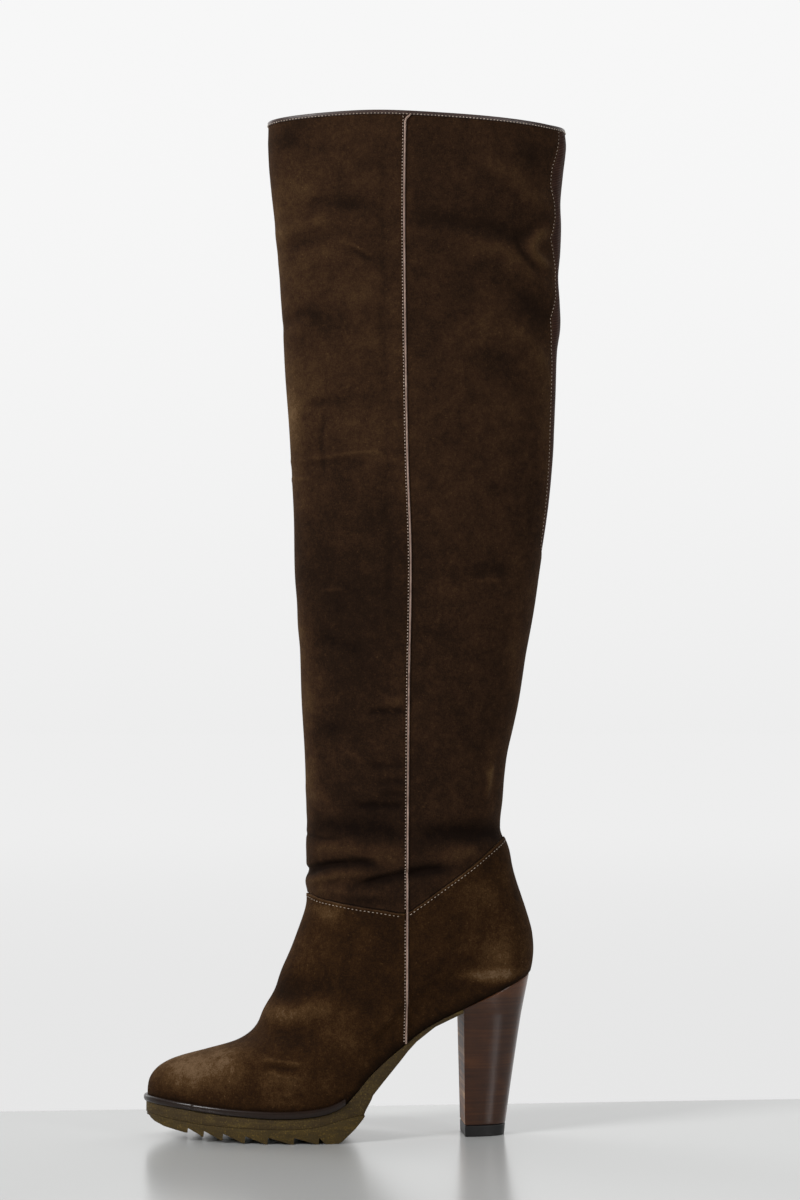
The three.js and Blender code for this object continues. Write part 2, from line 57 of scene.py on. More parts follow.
LEVELS = table("front_x front_z back_x back_z half own bulge bow", [
    (-129, 21.9, 108, 100.8, 38, 0, 0, 1),
    (-129.4, 28.5, 109, 105.2, 38, 0.02, 0.035, 0.95),
    (-127.9, 35.8, 109.6, 109.6, 38, 0.06, 0.055, 0.9),
    (-123.6, 41.6, 109.9, 114, 38, 0.12, 0.06, 0.85),
    (-117.2, 45.8, 109.8, 118.3, 37.8, 0.2, 0.06, 0.79),
    (-109, 48.9, 109.4, 122.6, 37.6, 0.28, 0.055, 0.72),
    (-94.4, 52.8, 108.7, 127, 37.4, 0.37, 0.05, 0.64),
    (-79.5, 57.4, 107.5, 131.6, 37.2, 0.47, 0.04, 0.55),
    (-69.3, 62.8, 106, 136.6, 37, 0.57, 0.03, 0.46),
    (-61.6, 70.8, 104.2, 142.2, 36.6, 0.67, 0.02, 0.37),
    (-55, 83.4, 101.9, 149, 35.8, 0.77, 0.01, 0.27),
    (-47, 101, 99, 157.6, 34.6, 0.88, 0, 0.17),
    (-39, 121, 96, 168, 33.6, 0.96, 0, 0.08),
    (-31.8, 144, 92.4, 181.4, 33, 1, 0, 0.02),
    (-31.4, 158, 89.4, 190.6, 33, 1, 0, 0),
    (-31.2, 176, 88.9, 202, 33.2, 1, 0, 0),
    (-31.9, 210, 92, 224, 33.8, 1, 0, 0),
    (-34, 255, 98.8, 260, 34.6, 1, 0, 0),
    (-36.4, 305, 107, 306, 35.8, 1, 0, 0),
    (-38.8, 357, 115, 357, 37, 1, 0, 0),
    (-41.2, 409, 121, 408, 38, 1, 0, 0),
    (-44.4, 460, 124.3, 458.5, 39, 1, 0, 0),
    (-47.5, 510, 126.6, 508, 39.6, 1, 0, 0),
    (-51, 560, 128.2, 557.5, 40, 1, 0, 0),
    (-54.8, 604, 130, 601, 40, 1, 0, 0),
    (-56.4, 630.6, 131.3, 627.4, 40, 1, 0, 0),
])
TOP_LEVEL = len(LEVELS["half"]) - 1
TOP_STEP = 26.6  # height of the top row of levels
COLLAR_CROWN = 2.0
COLLAR_PEAK, PEAK_X, PEAK_WIDE = 1.1, 3.0, 34.0  # the collar's edge is highest a little ahead of its middle
BACK_PEAK = 0.9  # and rounds up at the back
CROWN_LEVELS = 5

OUTLINE = table("along outer inner swing", [
    (0, 41.5, 41, 7),
    (0.1, 42.6, 41.8, 5.7),
    (0.2, 43.2, 41.8, 3.9),
    (0.32, 43, 40.6, 1.9),
    (0.42, 40.6, 36.8, 0.6),
    (0.52, 36.6, 31.6, -0.6),
    (0.63, 32.2, 28.2, -1),
    (0.75, 30.8, 29.2, -0.6),
    (0.86, 34.8, 34, 0),
    (0.95, 46.5, 46.5, 0),
    (1, 52, 52, 0),
])
SEAT = table("x z", [
    (-131, 22.2), (-119, 20.9), (-102, 19), (-84, 17.1), (-66, 15.8), (-48, 15.3),
    (-33, 16), (-21, 18), (-11, 22.4), (-3, 30), (4, 38.4), (13, 47), (24, 56),
    (36, 65.2), (48, 72.2), (61.5, 78.4), (74, 84.2), (90, 91.8), (110, 101.8),
])
GROOVE = table("x z", [
    (-132, 15.6), (-119, 13.5), (-105, 11.5), (-90, 10.2), (-72, 9.3), (-54, 8.9),
    (-38, 9.1), (-26, 10.4), (-14, 13.6), (-5, 15.8), (3, 16.6),
])
ARCH = table("x z", [
    (1.6, 16.4), (3.4, 20.4), (6.4, 25.8), (7.4, 28.4), (14.6, 37.1), (24, 48.2), (29.2, 54.6),
    (34.6, 60.2), (46, 68.8), (63.6, 76.8),
])
TEETH = table("x z step", [
    (-105.1, 5.3, 1.7), (-95.4, 3.5, 2.2), (-83.9, 1.7, 2.9), (-70.6, 0.4, 3.1), (-57, 0, 3),
    (-41.2, 0, 2.9), (-26, 0, 2.9),
])
SOLE_TOE = [(-128.5, 13.4), (-127.6, 12.2), (-125.4, 10.6), (-119.4, 8.2), (-112.0, 6.5)]
SOLE_BACK = [(-21.5, 0.0), (-14.0, 0.0), (-11.6, 1.3), (-8.2, 4.4), (-3.6, 8.7), (1.0, 14.2), (2.2, 16.1)]
TOOTH_FLAT = 1.3
TOOTH_DEEPER = 1.1
HEEL = table("z breast back half", [
    (0, 65.6, 91.3, 15.6), (7, 65.5, 92, 16), (34, 65, 95.8, 18), (64, 64.5, 100.3, 20.8),
    (84, 64.3, 103.6, 23.2), (102, 64.2, 107, 25.2),
])
HEEL_SQUARE = 2.5
HEEL_LEVEL_Z = 76.0  # above this the heel's layers tilt towards the seat
HEEL_TOP_Z = 102.0
LIFT_TOP = 7.2
GAP = 0.3
RAND_LEVEL = 0.62

ANKLE_SEAM = table("x z", [
    (-80, 153), (-33.1, 150.2), (-25.2, 147.2), (-7, 143.4), (11.5, 140.6), (27.6, 138.8),
    (36, 143.6), (48.3, 152.2), (66.7, 165), (79, 174.6), (88.3, 182), (130, 213),
])
SIDE_SEAM = table("z x", [
    (50, 27.6), (140, 28.4), (270, 29.1), (355, 30.2), (415, 28.2), (490, 26.8),
    (575, 26), (650, 27),
])

# Edge of the outer back panel beside the stretch insert: its distance from the centre line, wavy where the
# panel's folds reach it. The inner panel's edge has the same waves a little lower.
INSERT_EDGE = table("z half", [
    (351, 0.4), (358, 3), (366, 8.5), (400, 10), (440, 11.5), (480, 12), (506, 15.2),
    (522, 11), (536, 10.8), (548, 14), (557, 16.2), (570, 13), (579, 13.6),
    (590, 17), (600, 16.8), (612, 14.4), (632, 12.4),
])
INNER_EDGE_LOWER = 9.0
INNER_WAVES = (19.2, 20.5)  # levels over which the inner edge's waves come to be that much lower

# Folds, nap, and painted light and shade.

# Soft ridges (height above 0) and troughs (below 0) of the suede, seen from the outer side: each one's soft
# half-width, its height, and the points (x, z) that it runs through.
FOLDS = [
    # back panel, from the collar down
    (7, 1.2, [(72, 606), (96, 590), (118, 576)]),
    (5.5, -1.4, [(27, 567), (55, 563), (82, 559), (100, 556), (119, 568)]),
    (5, 1.3, [(50, 558), (78, 549), (90, 547), (103, 536), (113, 529)]),
    (3.6, 2.6, [(119, 563), (109, 556), (108, 546), (119, 539)]),
    (2.8, -1.4, [(97, 557), (101, 549), (106, 542), (112, 537)]),
    (6, -1.7, [(86, 528), (100, 520), (110, 513), (117, 502)]),
    (5, 1.3, [(96, 500), (104, 493), (110, 486), (117, 474)]),
    (7, -0.7, [(60, 478), (90, 470), (112, 452)]),
    (1.3, 0.8, [(71, 342), (80, 342.6), (89, 342)]),
    (3.5, -0.9, [(72, 348), (94, 348)]),
    (7, 1, [(44, 198), (66, 199), (86, 196)]),
    (5.5, -1.9, [(32, 184), (53, 188), (74, 188), (92, 184)]),
    (6, 1.3, [(46, 170), (60, 174), (76, 177)]),
    # front panel, from the collar down
    (1.3, 0.8, [(-16, 553), (-5, 548.6), (7, 542)]),
    (1.5, -1.1, [(-6, 546.4), (1, 542.5), (8, 538)]),
    (4, -1.1, [(-38, 575), (-20, 577), (-4, 574), (8, 571)]),
    (4.5, -1.1, [(-50, 548), (-30, 553), (-12, 556)]),
    (4, 0.9, [(-50, 560), (-34, 563), (-20, 566)]),
    (3.4, -0.9, [(-48, 500), (-34, 508), (-18, 497)]),
    (3, -0.9, [(-33, 451), (-20, 453), (-6, 452)]),
    (1.3, -0.7, [(-22, 447), (-24, 429), (-22, 404)]),
    (1.4, 0.9, [(-44, 417.6), (-25, 418.4), (-2, 421), (10, 421), (14, 416), (13, 409)]),
    (1.4, 0.8, [(-42, 406.4), (-34, 406), (-28, 406)]),
    (4, -0.8, [(-40, 411), (-20, 413), (2, 414)]),
    (1.4, 0.8, [(-25, 336), (-16, 337), (-7, 336)]),
    (4, -1.2, [(-28, 308), (-12, 303), (4, 297)]),
    (1.7, -1.5, [(3, 261), (14, 262), (28, 261.6)]),
    (3.4, 1.1, [(12, 267), (20, 268), (28, 268)]),
    (2.2, 0.9, [(-10, 239), (-4, 235), (4, 230)]),
    (2.2, -1.1, [(4, 229), (14, 228), (28, 229)]),
    (2, -0.9, [(8, 218), (18, 218.6), (28, 219)]),
    (2, -0.9, [(12, 211), (20, 211), (28, 211.6)]),
    (2.4, -1.8, [(-4, 204), (12, 204), (28, 203.6)]),
    (4, 1.4, [(-29, 214), (-19, 205), (-11, 195)]),
    (4.6, -1.2, [(-32, 194), (-8, 190), (14, 187), (28, 186)]),
    (7, 1.6, [(-32, 179), (-12, 178), (8, 176), (24, 178)]),
    (2.6, -2.7, [(-34, 161), (-26, 165), (-16, 168), (2, 169.4), (12, 165)]),
    (3, 1.6, [(-33, 155), (-20, 160), (-8, 162), (2, 163)]),
    (3, -2.5, [(-4, 154), (11, 158), (28, 162), (45, 165), (56, 165)]),
    (3.6, 1.4, [(-32, 151), (-18, 152), (2, 150), (24, 150)]),
    (1.2, -1, [(-34, 163), (-27, 167), (-17, 169), (-8, 170)]),
    (1.2, -0.9, [(-2, 156), (10, 160), (28, 164), (48, 167)]),
    (1.3, -0.8, [(-33, 187), (-24, 184), (-12, 184)]),
    (1.6, 0.9, [(77, 206), (80, 219), (84, 232)]),
    # foot
    (6.5, 1.8, [(-64, 72), (-50, 76), (-37, 78), (-23, 82), (-10, 80)]),
    (8, -1.6, [(-58, 84), (-42, 93), (-28, 94), (-12, 93)]),
    (6.5, -1.1, [(-58, 66), (-40, 66), (-22, 64)]),
    (1.2, 0.8, [(-61, 51), (-48, 49.4), (-35, 48)]),
    (1.3, -0.8, [(-58, 47), (-47, 45.4), (-36, 45)]),
    (1.3, 0.7, [(-56, 43), (-48, 41), (-40, 39.4)]),
    (1.3, 0.5, [(-52, 31), (-46, 30), (-41, 30.4)]),
    (5, -0.8, [(-74, 56), (-66, 44), (-62, 32)]),
]
TAPER = 0.22  # share of a fold's length, at each end, over which it dies away
INNER_HIGHER = 6.0  # the inner side has the same folds, this much higher and softer
INNER_SOFTER = 0.8
FOLD_TONE = 0.24  # paler for each millimetre of a ridge 1 mm wide and darker in troughs: rubbed nap and painted light on ridges, painted shade in troughs
LEDGE_AHEAD = 13.0  # edge of the seam allowance that shows through the front panel, ahead of the side seam
LEDGE_FROM, LEDGE_TO = (300, 340), (600, 622)  # heights over which it comes in and dies away
LEDGE_DEPTH, LEDGE_HALF = 0.55, 1.7
# painted shade along the ledge's groove: how much darker, and its half-width
LEDGE_SHADE, LEDGE_SHADE_HALF = 0.08, 3.0
UNEVEN_FROM = (150, 190)  # heights over which the leg's slow unevenness comes in
STILL_BELOW = (16, 34)  # heights below which the last holds the suede flat
STILL_AT_TOP, COLLAR_Z = (0.5, 14), 630  # and depths below the collar over which its edging does
SWELL_EDGE = 0.75  # cosine of the turn at which the swells of the front and back begin
SEAT_DARK, SEAT_DARK_LEVELS = 0.4, 0.75  # the suede is painted darker towards the sole

# Slow swells of the outline, down the front and down the back.
FRONT_SWELL = table("z out", [
    (36, 0.3), (51, 0.1), (58, -0.6), (66, -1.15), (76, -0.4), (82, 0), (97, 1), (112, 0.3), (128, 0),
    (143, -0.3), (160, 0.6), (175, 0.5), (190, 0.4), (206, 0.1), (269, 0), (300, 0.5), (315, 1.2),
    (331, 0.5), (346, 0.5), (362, 0.3), (393, 0), (519, -0.2), (535, -0.4), (550, 0.4), (566, 1), (582, 1.4),
    (598, 1), (613, 0.4), (632, 0.2),
])
BACK_SWELL = table("z out", [
    (150, 0), (164, 0.2), (176, 1), (190, -0.3), (206, 1), (222, 0.3), (237, -0.3), (253, 0.3),
    (269, 1), (284, 1), (300, 0.4), (346, -0.2), (378, 0.6), (393, 1.2), (409, 1.8), (425, 1.9),
    (441, 1.1), (456, 0.6), (488, 0.7), (503, 2.1), (519, 1), (535, -0.3), (550, 0.6), (566, 0.4),
    (582, -0.9), (598, 0), (613, 1.3), (632, 1.6),
])

# Marks painted paler (above 0) or darker (below 0): centre, half-widths, and how strongly. Some are the
# brushed nap; others are painted light and shade: painted shade above the instep's ridge, painted highlights
# down the back edge, and a painted sheen down the front edge.
NAP_AND_SHADING = table("x z across high tone", [
    (-98, 45, 24, 11, 0.42), (-112, 40, 12, 10, 0.18), (-80, 52, 16, 7, 0.17), (-46, 40, 17, 11, 0.12),
    (-40, 77, 15, 5, 0.16), (-44, 92, 10, 7, -0.12), (-22, 112, 16, 16, 0.07), (-20, 139, 11, 7, 0.32),
    (-14, 62, 18, 10, 0.07), (16, 120, 10, 20, -0.07), (-36, 60, 18, 6, -0.1),
    (86, 114, 13, 10, 0.26), (80, 100, 20, 4.5, 0.48), (56, 98, 18, 12, -0.09), (72, 150, 14, 14, 0.07),
    (-46, 616, 9, 7, -0.24), (-6, 574, 13, 4, -0.08), (-26, 507, 11, 9, -0.15), (-36, 586, 12, 12, 0.12),
    (-34, 540, 10, 16, 0.09), (-6, 520, 14, 10, 0.11), (-34, 470, 12, 16, 0.12), (-40, 445, 8, 14, 0.15),
    (-6, 490, 14, 12, 0.07), (-32, 412, 14, 4, 0.13), (-5, 440, 12, 8, 0.06), (-30, 390, 10, 10, 0.06),
    (-10, 330, 24, 20, -0.07), (-34, 300, 8, 30, 0.09), (-17, 253, 9, 5, -0.18), (-32, 268, 6, 14, 0.18),
    (-30, 225, 6, 14, 0.15), (0, 190, 26, 6, -0.15), (-8, 178, 20, 6, 0.13), (22, 170, 7, 8, 0.18),
    (10, 150, 22, 5, -0.18), (0, 146, 22, 3, -0.12),
    (82, 498, 24, 14, 0.1), (100, 594, 16, 8, 0.06), (80, 548, 18, 4, 0.05), (60, 563, 28, 8, -0.09),
    (98, 510, 12, 8, -0.12), (60, 440, 50, 50, 0.05), (-6, 440, 40, 40, 0.06), (116, 430, 5, 60, 0.15),
    (96, 300, 6, 40, 0.13),
    (81, 220, 2.6, 14, 0.25), (66, 187, 24, 5, -0.21), (64, 175, 14, 4, 0.12), (40, 165, 14, 4, -0.18),
    (106, 608, 10, 12, -0.12), (-4, 375, 42, 50, -0.1), (-4, 320, 42, 40, -0.12), (-2, 250, 40, 50, -0.1),
    (-2, 190, 40, 34, -0.2), (60, 185, 40, 24, -0.06), (4, 112, 34, 34, -0.1),
    (-50, 555, 6, 36, 0.27), (-43, 440, 6, 50, 0.24), (-37, 300, 5, 34, 0.2), (-32, 215, 5, 30, 0.2),
])


def at_row(rows, column, row):
    """Smooth value of a column at fractional rows."""
    values = rows[column]
    padded = np.concatenate([[2 * values[0] - values[1]], values, [2 * values[-1] - values[-2]]])
    i = np.clip(np.floor(row).astype(int), 0, len(values) - 2)
    u = row - i
    p0, p1, p2, p3 = (padded[i + k] for k in range(4))
    bend = (2 * p0 - 5 * p1 + 4 * p2 - p3) * u**2
    return 0.5 * (2 * p1 + (p2 - p0) * u + bend + (3 * p1 - p0 - 3 * p2 + p3) * u**3)


def look_up(rows, key, column, value):
    """Smooth value of one column where another, which rises down the table, has the given values."""
    keys, values = rows[key], rows[column]
    last = len(keys) - 1
    i = np.clip(np.searchsorted(keys, value, side="left") - 1, 0, last - 1)
    before = np.maximum(np.arange(last + 1) - 1, 0)
    after = np.minimum(np.arange(last + 1) + 1, last)
    slope = (values[after] - values[before]) / (keys[after] - keys[before])
    span = keys[i + 1] - keys[i]
    u = (value - keys[i]) / span
    ends = (2 * u**3 - 3 * u**2 + 1) * values[i] + (3 * u**2 - 2 * u**3) * values[i + 1]
    return ends + span * ((u**3 - 2 * u**2 + u) * slope[i] + (u**3 - u**2) * slope[i + 1])


def seat_z(x):
    return look_up(SEAT, "x", "z", x)


def smooth_step(low, high, value):
    u = np.clip((value - low) / (high - low), 0, 1)
    return u * u * (3 - 2 * u)


def last_point(angle, level):
    """Points of the upper's outer surface: angle 0 at the toe and shin, a quarter turn on the outer side."""
    angle, level = np.broadcast_arrays(np.asarray(angle, float), np.asarray(level, float))
    row = {name: at_row(LEVELS, name, level) for name in LEVELS}
    along = (1 - np.cos(angle)) / 2
    across = np.sin(angle)
    x = row["front_x"] + (row["back_x"] - row["front_x"]) * along
    straight = row["front_z"] + (row["back_z"] - row["front_z"]) * along
    sole_x = LEVELS["front_x"][0] + (LEVELS["back_x"][0] - LEVELS["front_x"][0]) * along
    chord = LEVELS["front_z"][0] + (LEVELS["back_z"][0] - LEVELS["front_z"][0]) * along
    arc = COLLAR_CROWN + COLLAR_PEAK * np.exp(-(((x - PEAK_X) / PEAK_WIDE) ** 2))
    rise = arc * across**2 + BACK_PEAK * smooth_step(0.85, 1.0, -np.cos(angle))
    crown = rise * np.maximum(0, 1 - (TOP_LEVEL - level) / CROWN_LEVELS)
    z = straight + row["bow"] * (seat_z(sole_x) - chord) + crown
    outer, inner, swing = (look_up(OUTLINE, "along", name, along) for name in ("outer", "inner", "swing"))
    width = np.where(across >= 0, outer, inner)
    half = width * (1 + row["bulge"]) * (1 - row["own"]) + row["half"] * row["own"]
    return np.stack([x, swing * (1 - row["own"]) - half * across, z], -1)


def outward(angle, level):
    """Unit normals of that surface, level ones at the seat and the collar."""
    step = 0.01
    low = np.clip(level - step, 0, TOP_LEVEL)
    high = np.clip(level + step, 0, TOP_LEVEL)
    around = last_point(angle + step, level) - last_point(angle - step, level)
    up = last_point(angle, high) - last_point(angle, low)
    normal = np.cross(around, up)
    normal /= np.linalg.norm(normal, axis=-1, keepdims=True)
    normal[..., 2] *= np.clip(np.minimum(level, TOP_LEVEL - level), 0, 1)
    return normal / np.linalg.norm(normal, axis=-1, keepdims=True)


def fold_line(points, count=28):
    """A smooth curve through a fold's given points."""
    rows = table("x z", points)
    row = np.linspace(0, len(points) - 1, count)
    return np.stack([at_row(rows, "x", row), at_row(rows, "z", row)], -1)


def distance_along(points, line):
    """Distance of points (n, 2) from a line, and the share of its length at the nearest place."""
    start, step = line[:-1], np.diff(line, axis=0)
    share = ((points[:, None] - start) * step).sum(-1) / (step**2).sum(-1)
    share = np.clip(share, 0, 1)
    gaps = np.linalg.norm(points[:, None] - (start + share[..., None] * step), axis=-1)
    nearest = gaps.argmin(1)
    rows = np.arange(len(points))
    return gaps[rows, nearest], (nearest + share[rows, nearest]) / len(step)


def folds_at(x, z):
    """Height of all the folds at places seen from the side, and how much paler or darker they paint the
    suede: rubbed nap and painted light on ridges, painted shade in troughs.
    """
    places = np.stack([x, z], -1).reshape(-1, 2)
    height, tone = np.zeros((2, len(places)))
    for width, rise, points in FOLDS:
        line = fold_line(points)
        reach = 3 * width
        near = np.all((places > line.min(0) - reach) & (places < line.max(0) + reach), axis=1)
        if near.any():
            distance, share = distance_along(places[near], line)
            taper = smooth_step(0, TAPER, share) * smooth_step(0, TAPER, 1 - share)
            here = rise * (0.25 + 0.75 * taper) * np.exp(-((distance / width) ** 2))
            height[near] += here
            tone[near] += FOLD_TONE * here / math.sqrt(width)
    return height.reshape(np.shape(x)), tone.reshape(np.shape(x))


def unevenness(x, z):
    """Slow hollows and swells of soft leather."""
    waves = [(0.055, 0.021, 0.4), (-0.034, 0.047, 1.7), (0.081, -0.066, 2.9), (0.013, 0.095, 0.9)]
    return 0.22 * sum(np.sin(a * x + b * z + c) for a, b, c in waves)


def mirror_shift(angle):
    """How much higher the folds are on the inner side, growing from nothing at the front and back."""
    return INNER_HIGHER * smooth_step(0.0, 0.7, -np.sin(angle))


def ledge_at(x, z, width):
    """The seam allowance's edge, a line down the front panel: 1 along its middle."""
    ledge = smooth_step(*LEDGE_FROM, z) * (1 - smooth_step(*LEDGE_TO, z))
    ahead = look_up(SIDE_SEAM, "z", "x", z) - LEDGE_AHEAD
    return ledge * np.exp(-(((x - ahead) / width) ** 2))


def relief(angle, points):
    """How far the suede stands off the last: folds, swells and the seam allowance's ledge."""
    x, z = points[..., 0], points[..., 2]
    shift = mirror_shift(angle)
    height = folds_at(x, z - shift)[0] * (1 - (1 - INNER_SOFTER) * shift / INNER_HIGHER)
    height -= LEDGE_DEPTH * ledge_at(x, z, LEDGE_HALF)
    height += unevenness(x, z) * smooth_step(*UNEVEN_FROM, z)
    for swell, facing in ((FRONT_SWELL, np.cos(angle)), (BACK_SWELL, -np.cos(angle))):
        inside = np.clip(z, swell["z"][0], swell["z"][-1])
        height += smooth_step(SWELL_EDGE, 1, facing) * look_up(swell, "z", "out", inside)
    return height * smooth_step(*STILL_AT_TOP, COLLAR_Z - z) * smooth_step(*STILL_BELOW, z)


def nap_and_shading_at(angle, points, level):
    """How pale the suede is painted, about 0: brushed nap and painted light and shade in the marks, rubbed
    nap and painted light on ridges, painted shade in troughs and along the seam allowance's ledge, and darker
    towards the sole.
    """
    shift = mirror_shift(angle)
    x, z = points[..., 0], points[..., 2] - shift
    tone = np.zeros(np.shape(x))
    for mark_x, mark_z, across, high, paler in zip(*NAP_AND_SHADING.values()):
        tone += paler * np.exp(-(((x - mark_x) / across) ** 2) - ((z - mark_z) / high) ** 2)
    tone += np.clip(folds_at(x, z)[1], -0.4, 0.4) - LEDGE_SHADE * ledge_at(x, z, LEDGE_SHADE_HALF)
    return tone - SEAT_DARK * np.exp(-((level / SEAT_DARK_LEVELS) ** 2))


# Seam lines on the last.

SEAM_X = 28.0  # about where the side seam runs, and where the search for it starts
RUN = np.linspace(0, TOP_LEVEL, 1301)
TURN = np.linspace(-PI, PI, 721)


def seam_angles():
    """Angle of the outer side seam at each level of RUN."""
    front, back = at_row(LEVELS, "front_x", RUN), at_row(LEVELS, "back_x", RUN)
    x = SEAM_X
    for _ in range(6):
        angle = np.arccos(1 - 2 * (x - front) / (back - front))
        x = look_up(SIDE_SEAM, "z", "x", last_point(angle, RUN)[..., 2])
    return angle


def ankle_levels():
    """Level of the ankle seam at each angle of TURN."""
    low, high = np.full(len(TURN), 8.0), np.full(len(TURN), 18.0)
    for _ in range(40):
        middle = (low + high) / 2
        point = last_point(TURN, middle)
        above = point[:, 2] > look_up(ANKLE_SEAM, "x", "z", point[:, 0])
        high = np.where(above, middle, high)
        low = np.where(above, low, middle)
    return (low + high) / 2


SEAM_ANGLE = seam_angles()
ANKLE_LEVEL = ankle_levels()


def seam_angle(level):
    return np.interp(level, RUN, SEAM_ANGLE)


def ankle_level(angle):
    wrapped = np.where(angle > PI, angle - 2 * PI, angle)
    return np.interp(wrapped, TURN, ANKLE_LEVEL)


def insert_edge(level, side):
    """Angle of the back panel's edge beside the stretch insert, or at the centre seam below it. side is 1 on
    the outer side and -1 inside, where the waves come to be lower."""
    lower = INNER_EDGE_LOWER * smooth_step(*INNER_WAVES, level) if side < 0 else 0
    half = np.interp(at_row(LEVELS, "back_z", level) + lower, INSERT_EDGE["z"], INSERT_EDGE["half"])
    return PI - np.arcsin(half / at_row(LEVELS, "half", level))


def surface(angle, level, out=0.0):
    """Points of the suede, folds and all, moved outwards."""
    base = last_point(angle, level)
    height = relief(angle, base) + out
    return base + outward(angle, level) * height[..., None]


# Meshes.


def mesh_object(name, points, faces, finish, sharp_angle=None):
    """Object with a closed mesh, its faces turned outwards and shaded smoothly. Points are in millimetres."""
    mesh = bpy.data.meshes.new(name)
    mesh.from_pydata((np.asarray(points) * MM).tolist(), [], faces)
    mesh.calc_loop_triangles()
    corners = np.empty(3 * len(mesh.loop_triangles), np.int32)
    mesh.loop_triangles.foreach_get("vertices", corners)
    a, b, c = np.asarray(points)[corners.reshape(-1, 3)].transpose(1, 0, 2)
    if np.einsum("ij,ij->i", a, np.cross(b, c)).sum() < 0:
        mesh.flip_normals()
    mesh.shade_smooth()
    if sharp_angle is not None:
        mesh.set_sharp_from_angle(angle=math.radians(sharp_angle))
    mesh.materials.append(finish)
    thing = bpy.data.objects.new(name, mesh)
    bpy.context.scene.collection.objects.link(thing)
    return thing


def grid_faces(index):
    """Faces of a grid of point numbers."""
    corners = [index[:-1, :-1], index[:-1, 1:], index[1:, 1:], index[1:, :-1]]
    return np.stack(corners, -1).reshape(-1, 4).tolist()


def rim_faces(outer, inner, picks):
    """Faces between a panel's fine outer edge and its coarser inner one, which has only the picked lines."""
    outer, inner = outer.tolist(), inner.tolist()
    ends = zip(picks, picks[1:])
    return [[*outer[a : b + 1], inner[k + 1], inner[k]] for k, (a, b) in enumerate(ends)]


def loft(sections, closed=True):
    """Points and faces of a body from sections of equal count; closed joins the last to the first."""
    count, rings = len(sections[0]), len(sections)
    index = np.arange(rings * count).reshape(rings, count)
    around = np.column_stack([index, index[:, 0]])
    if closed:
        return np.concatenate(sections), grid_faces(np.vstack([around, around[:1]]))
    ends = [index[0, ::-1].tolist(), index[-1].tolist()]
    return np.concatenate(sections), grid_faces(around) + ends


def edge_lines(count, length):
    """Shares from 0 to 1, with a few lines close to each end where the edge is rounded."""
    near = np.array([0.0, 0.12, 0.35, 0.7]) / length
    return np.concatenate([near, np.linspace(1.3 / length, 1 - 1.3 / length, count), 1 - near[::-1]])


def reach_from_edges(points):
    """Distance of each grid point from the grid's four edges, along the surface."""
    side = np.linalg.norm(np.diff(points, axis=1), axis=-1)
    rise = np.linalg.norm(np.diff(points, axis=0), axis=-1)
    left = np.concatenate([np.zeros((len(points), 1)), side.cumsum(1)], 1)
    low = np.concatenate([np.zeros((1, points.shape[1])), rise.cumsum(0)], 0)
    return {"left": left, "right": left[:, -1:] - left, "low": low, "high": low[-1:] - low}


EDGE_ROUND = 0.6
# reach of the painted edge tones: paler wear on cut edges, painted highlight and painted shade on others
EDGE_WEAR_AND_SHADE = 0.6
SUEDE_THICK = 1.1
COARSE = 4  # the hidden inner face of a panel has one line for this many outside
ANKLE_START = 13.0  # about the ankle seam's level, where a grid's search starts


def suede_panel(name, grid, edges, finish, tone):
    """A panel of suede over a grid of angles and levels. edges says, for each edge, how far the panel rises
    there, over what distance that dies away, and how much paler its suede is painted near it, below 0 darker:
    paler wear on a cut edge, a painted highlight on an edge that catches the light, painted shade on one
    tucked under its neighbour."""
    angle, level = grid
    base = last_point(angle, level)
    reach = reach_from_edges(base)
    height = relief(angle, base)
    cut = np.zeros(height.shape)
    nap_and_shading = nap_and_shading_at(angle, base, level) + tone
    for edge, (rise, fade, paler) in edges.items():
        gap = reach[edge]
        height += rise * np.exp(-((gap / fade) ** 2))
        depth = np.clip(EDGE_ROUND - gap, 0, EDGE_ROUND)
        cut += EDGE_ROUND - np.sqrt(EDGE_ROUND**2 - depth**2)
        nap_and_shading += paler * np.exp(-((gap / EDGE_WEAR_AND_SHADE) ** 2))
    normal = outward(angle, level)
    outside = base + normal * (height - cut)[..., None]
    inside = base + normal * (height - SUEDE_THICK)[..., None]
    rows, columns = (sorted({*range(0, n, COARSE), n - 1}) for n in height.shape)
    picked = np.ix_(rows, columns)
    far = np.arange(height.size).reshape(height.shape)
    near = height.size + np.arange(len(rows) * len(columns)).reshape(len(rows), len(columns))
    faces = grid_faces(far) + grid_faces(near[:, ::-1])
    faces += rim_faces(far[-1], near[-1], columns) + rim_faces(far[:, 0], near[:, 0], rows)
    turned = rim_faces(far[0], near[0], columns) + rim_faces(far[:, -1], near[:, -1], rows)
    faces += [face[::-1] for face in turned]
    points = np.concatenate([outside.reshape(-1, 3), inside[picked].reshape(-1, 3)])
    thing = mesh_object(name, points, faces, finish)
    attribute = thing.data.attributes.new("nap_and_shading", "FLOAT", "POINT")
    values = np.concatenate([nap_and_shading.reshape(-1), nap_and_shading[picked].reshape(-1)])
    attribute.data.foreach_set("value", values.astype(np.float32))
    return thing


def panel_grid(counts, size, ends, sides):
    """Angles and levels of a panel with so many lines up and across, of about this height and width, between
    a low and a high edge (levels against angle) and a left and a right edge (angles against level)."""
    v = edge_lines(counts[0], size[0])[:, None]
    u = edge_lines(counts[1], size[1])[None, :]
    low, high = ends
    left, right = sides
    level = ANKLE_START + 0 * u + (TOP_LEVEL - ANKLE_START) * v
    for _ in range(6):
        angle = left(level) + (right(level) - left(level)) * u
        level = low(angle) + (high(angle) - low(angle)) * v
    return angle, level


# Materials.


def rgb(code):
    """Linear colour from a hexadecimal sRGB code."""
    parts = [int(code[i : i + 2], 16) / 255 for i in (0, 2, 4)]
    return (*[p / 12.92 if p <= 0.04045 else ((p + 0.055) / 1.055) ** 2.4 for p in parts], 1.0)


SMOOTH = "SMOOTHSTEP"


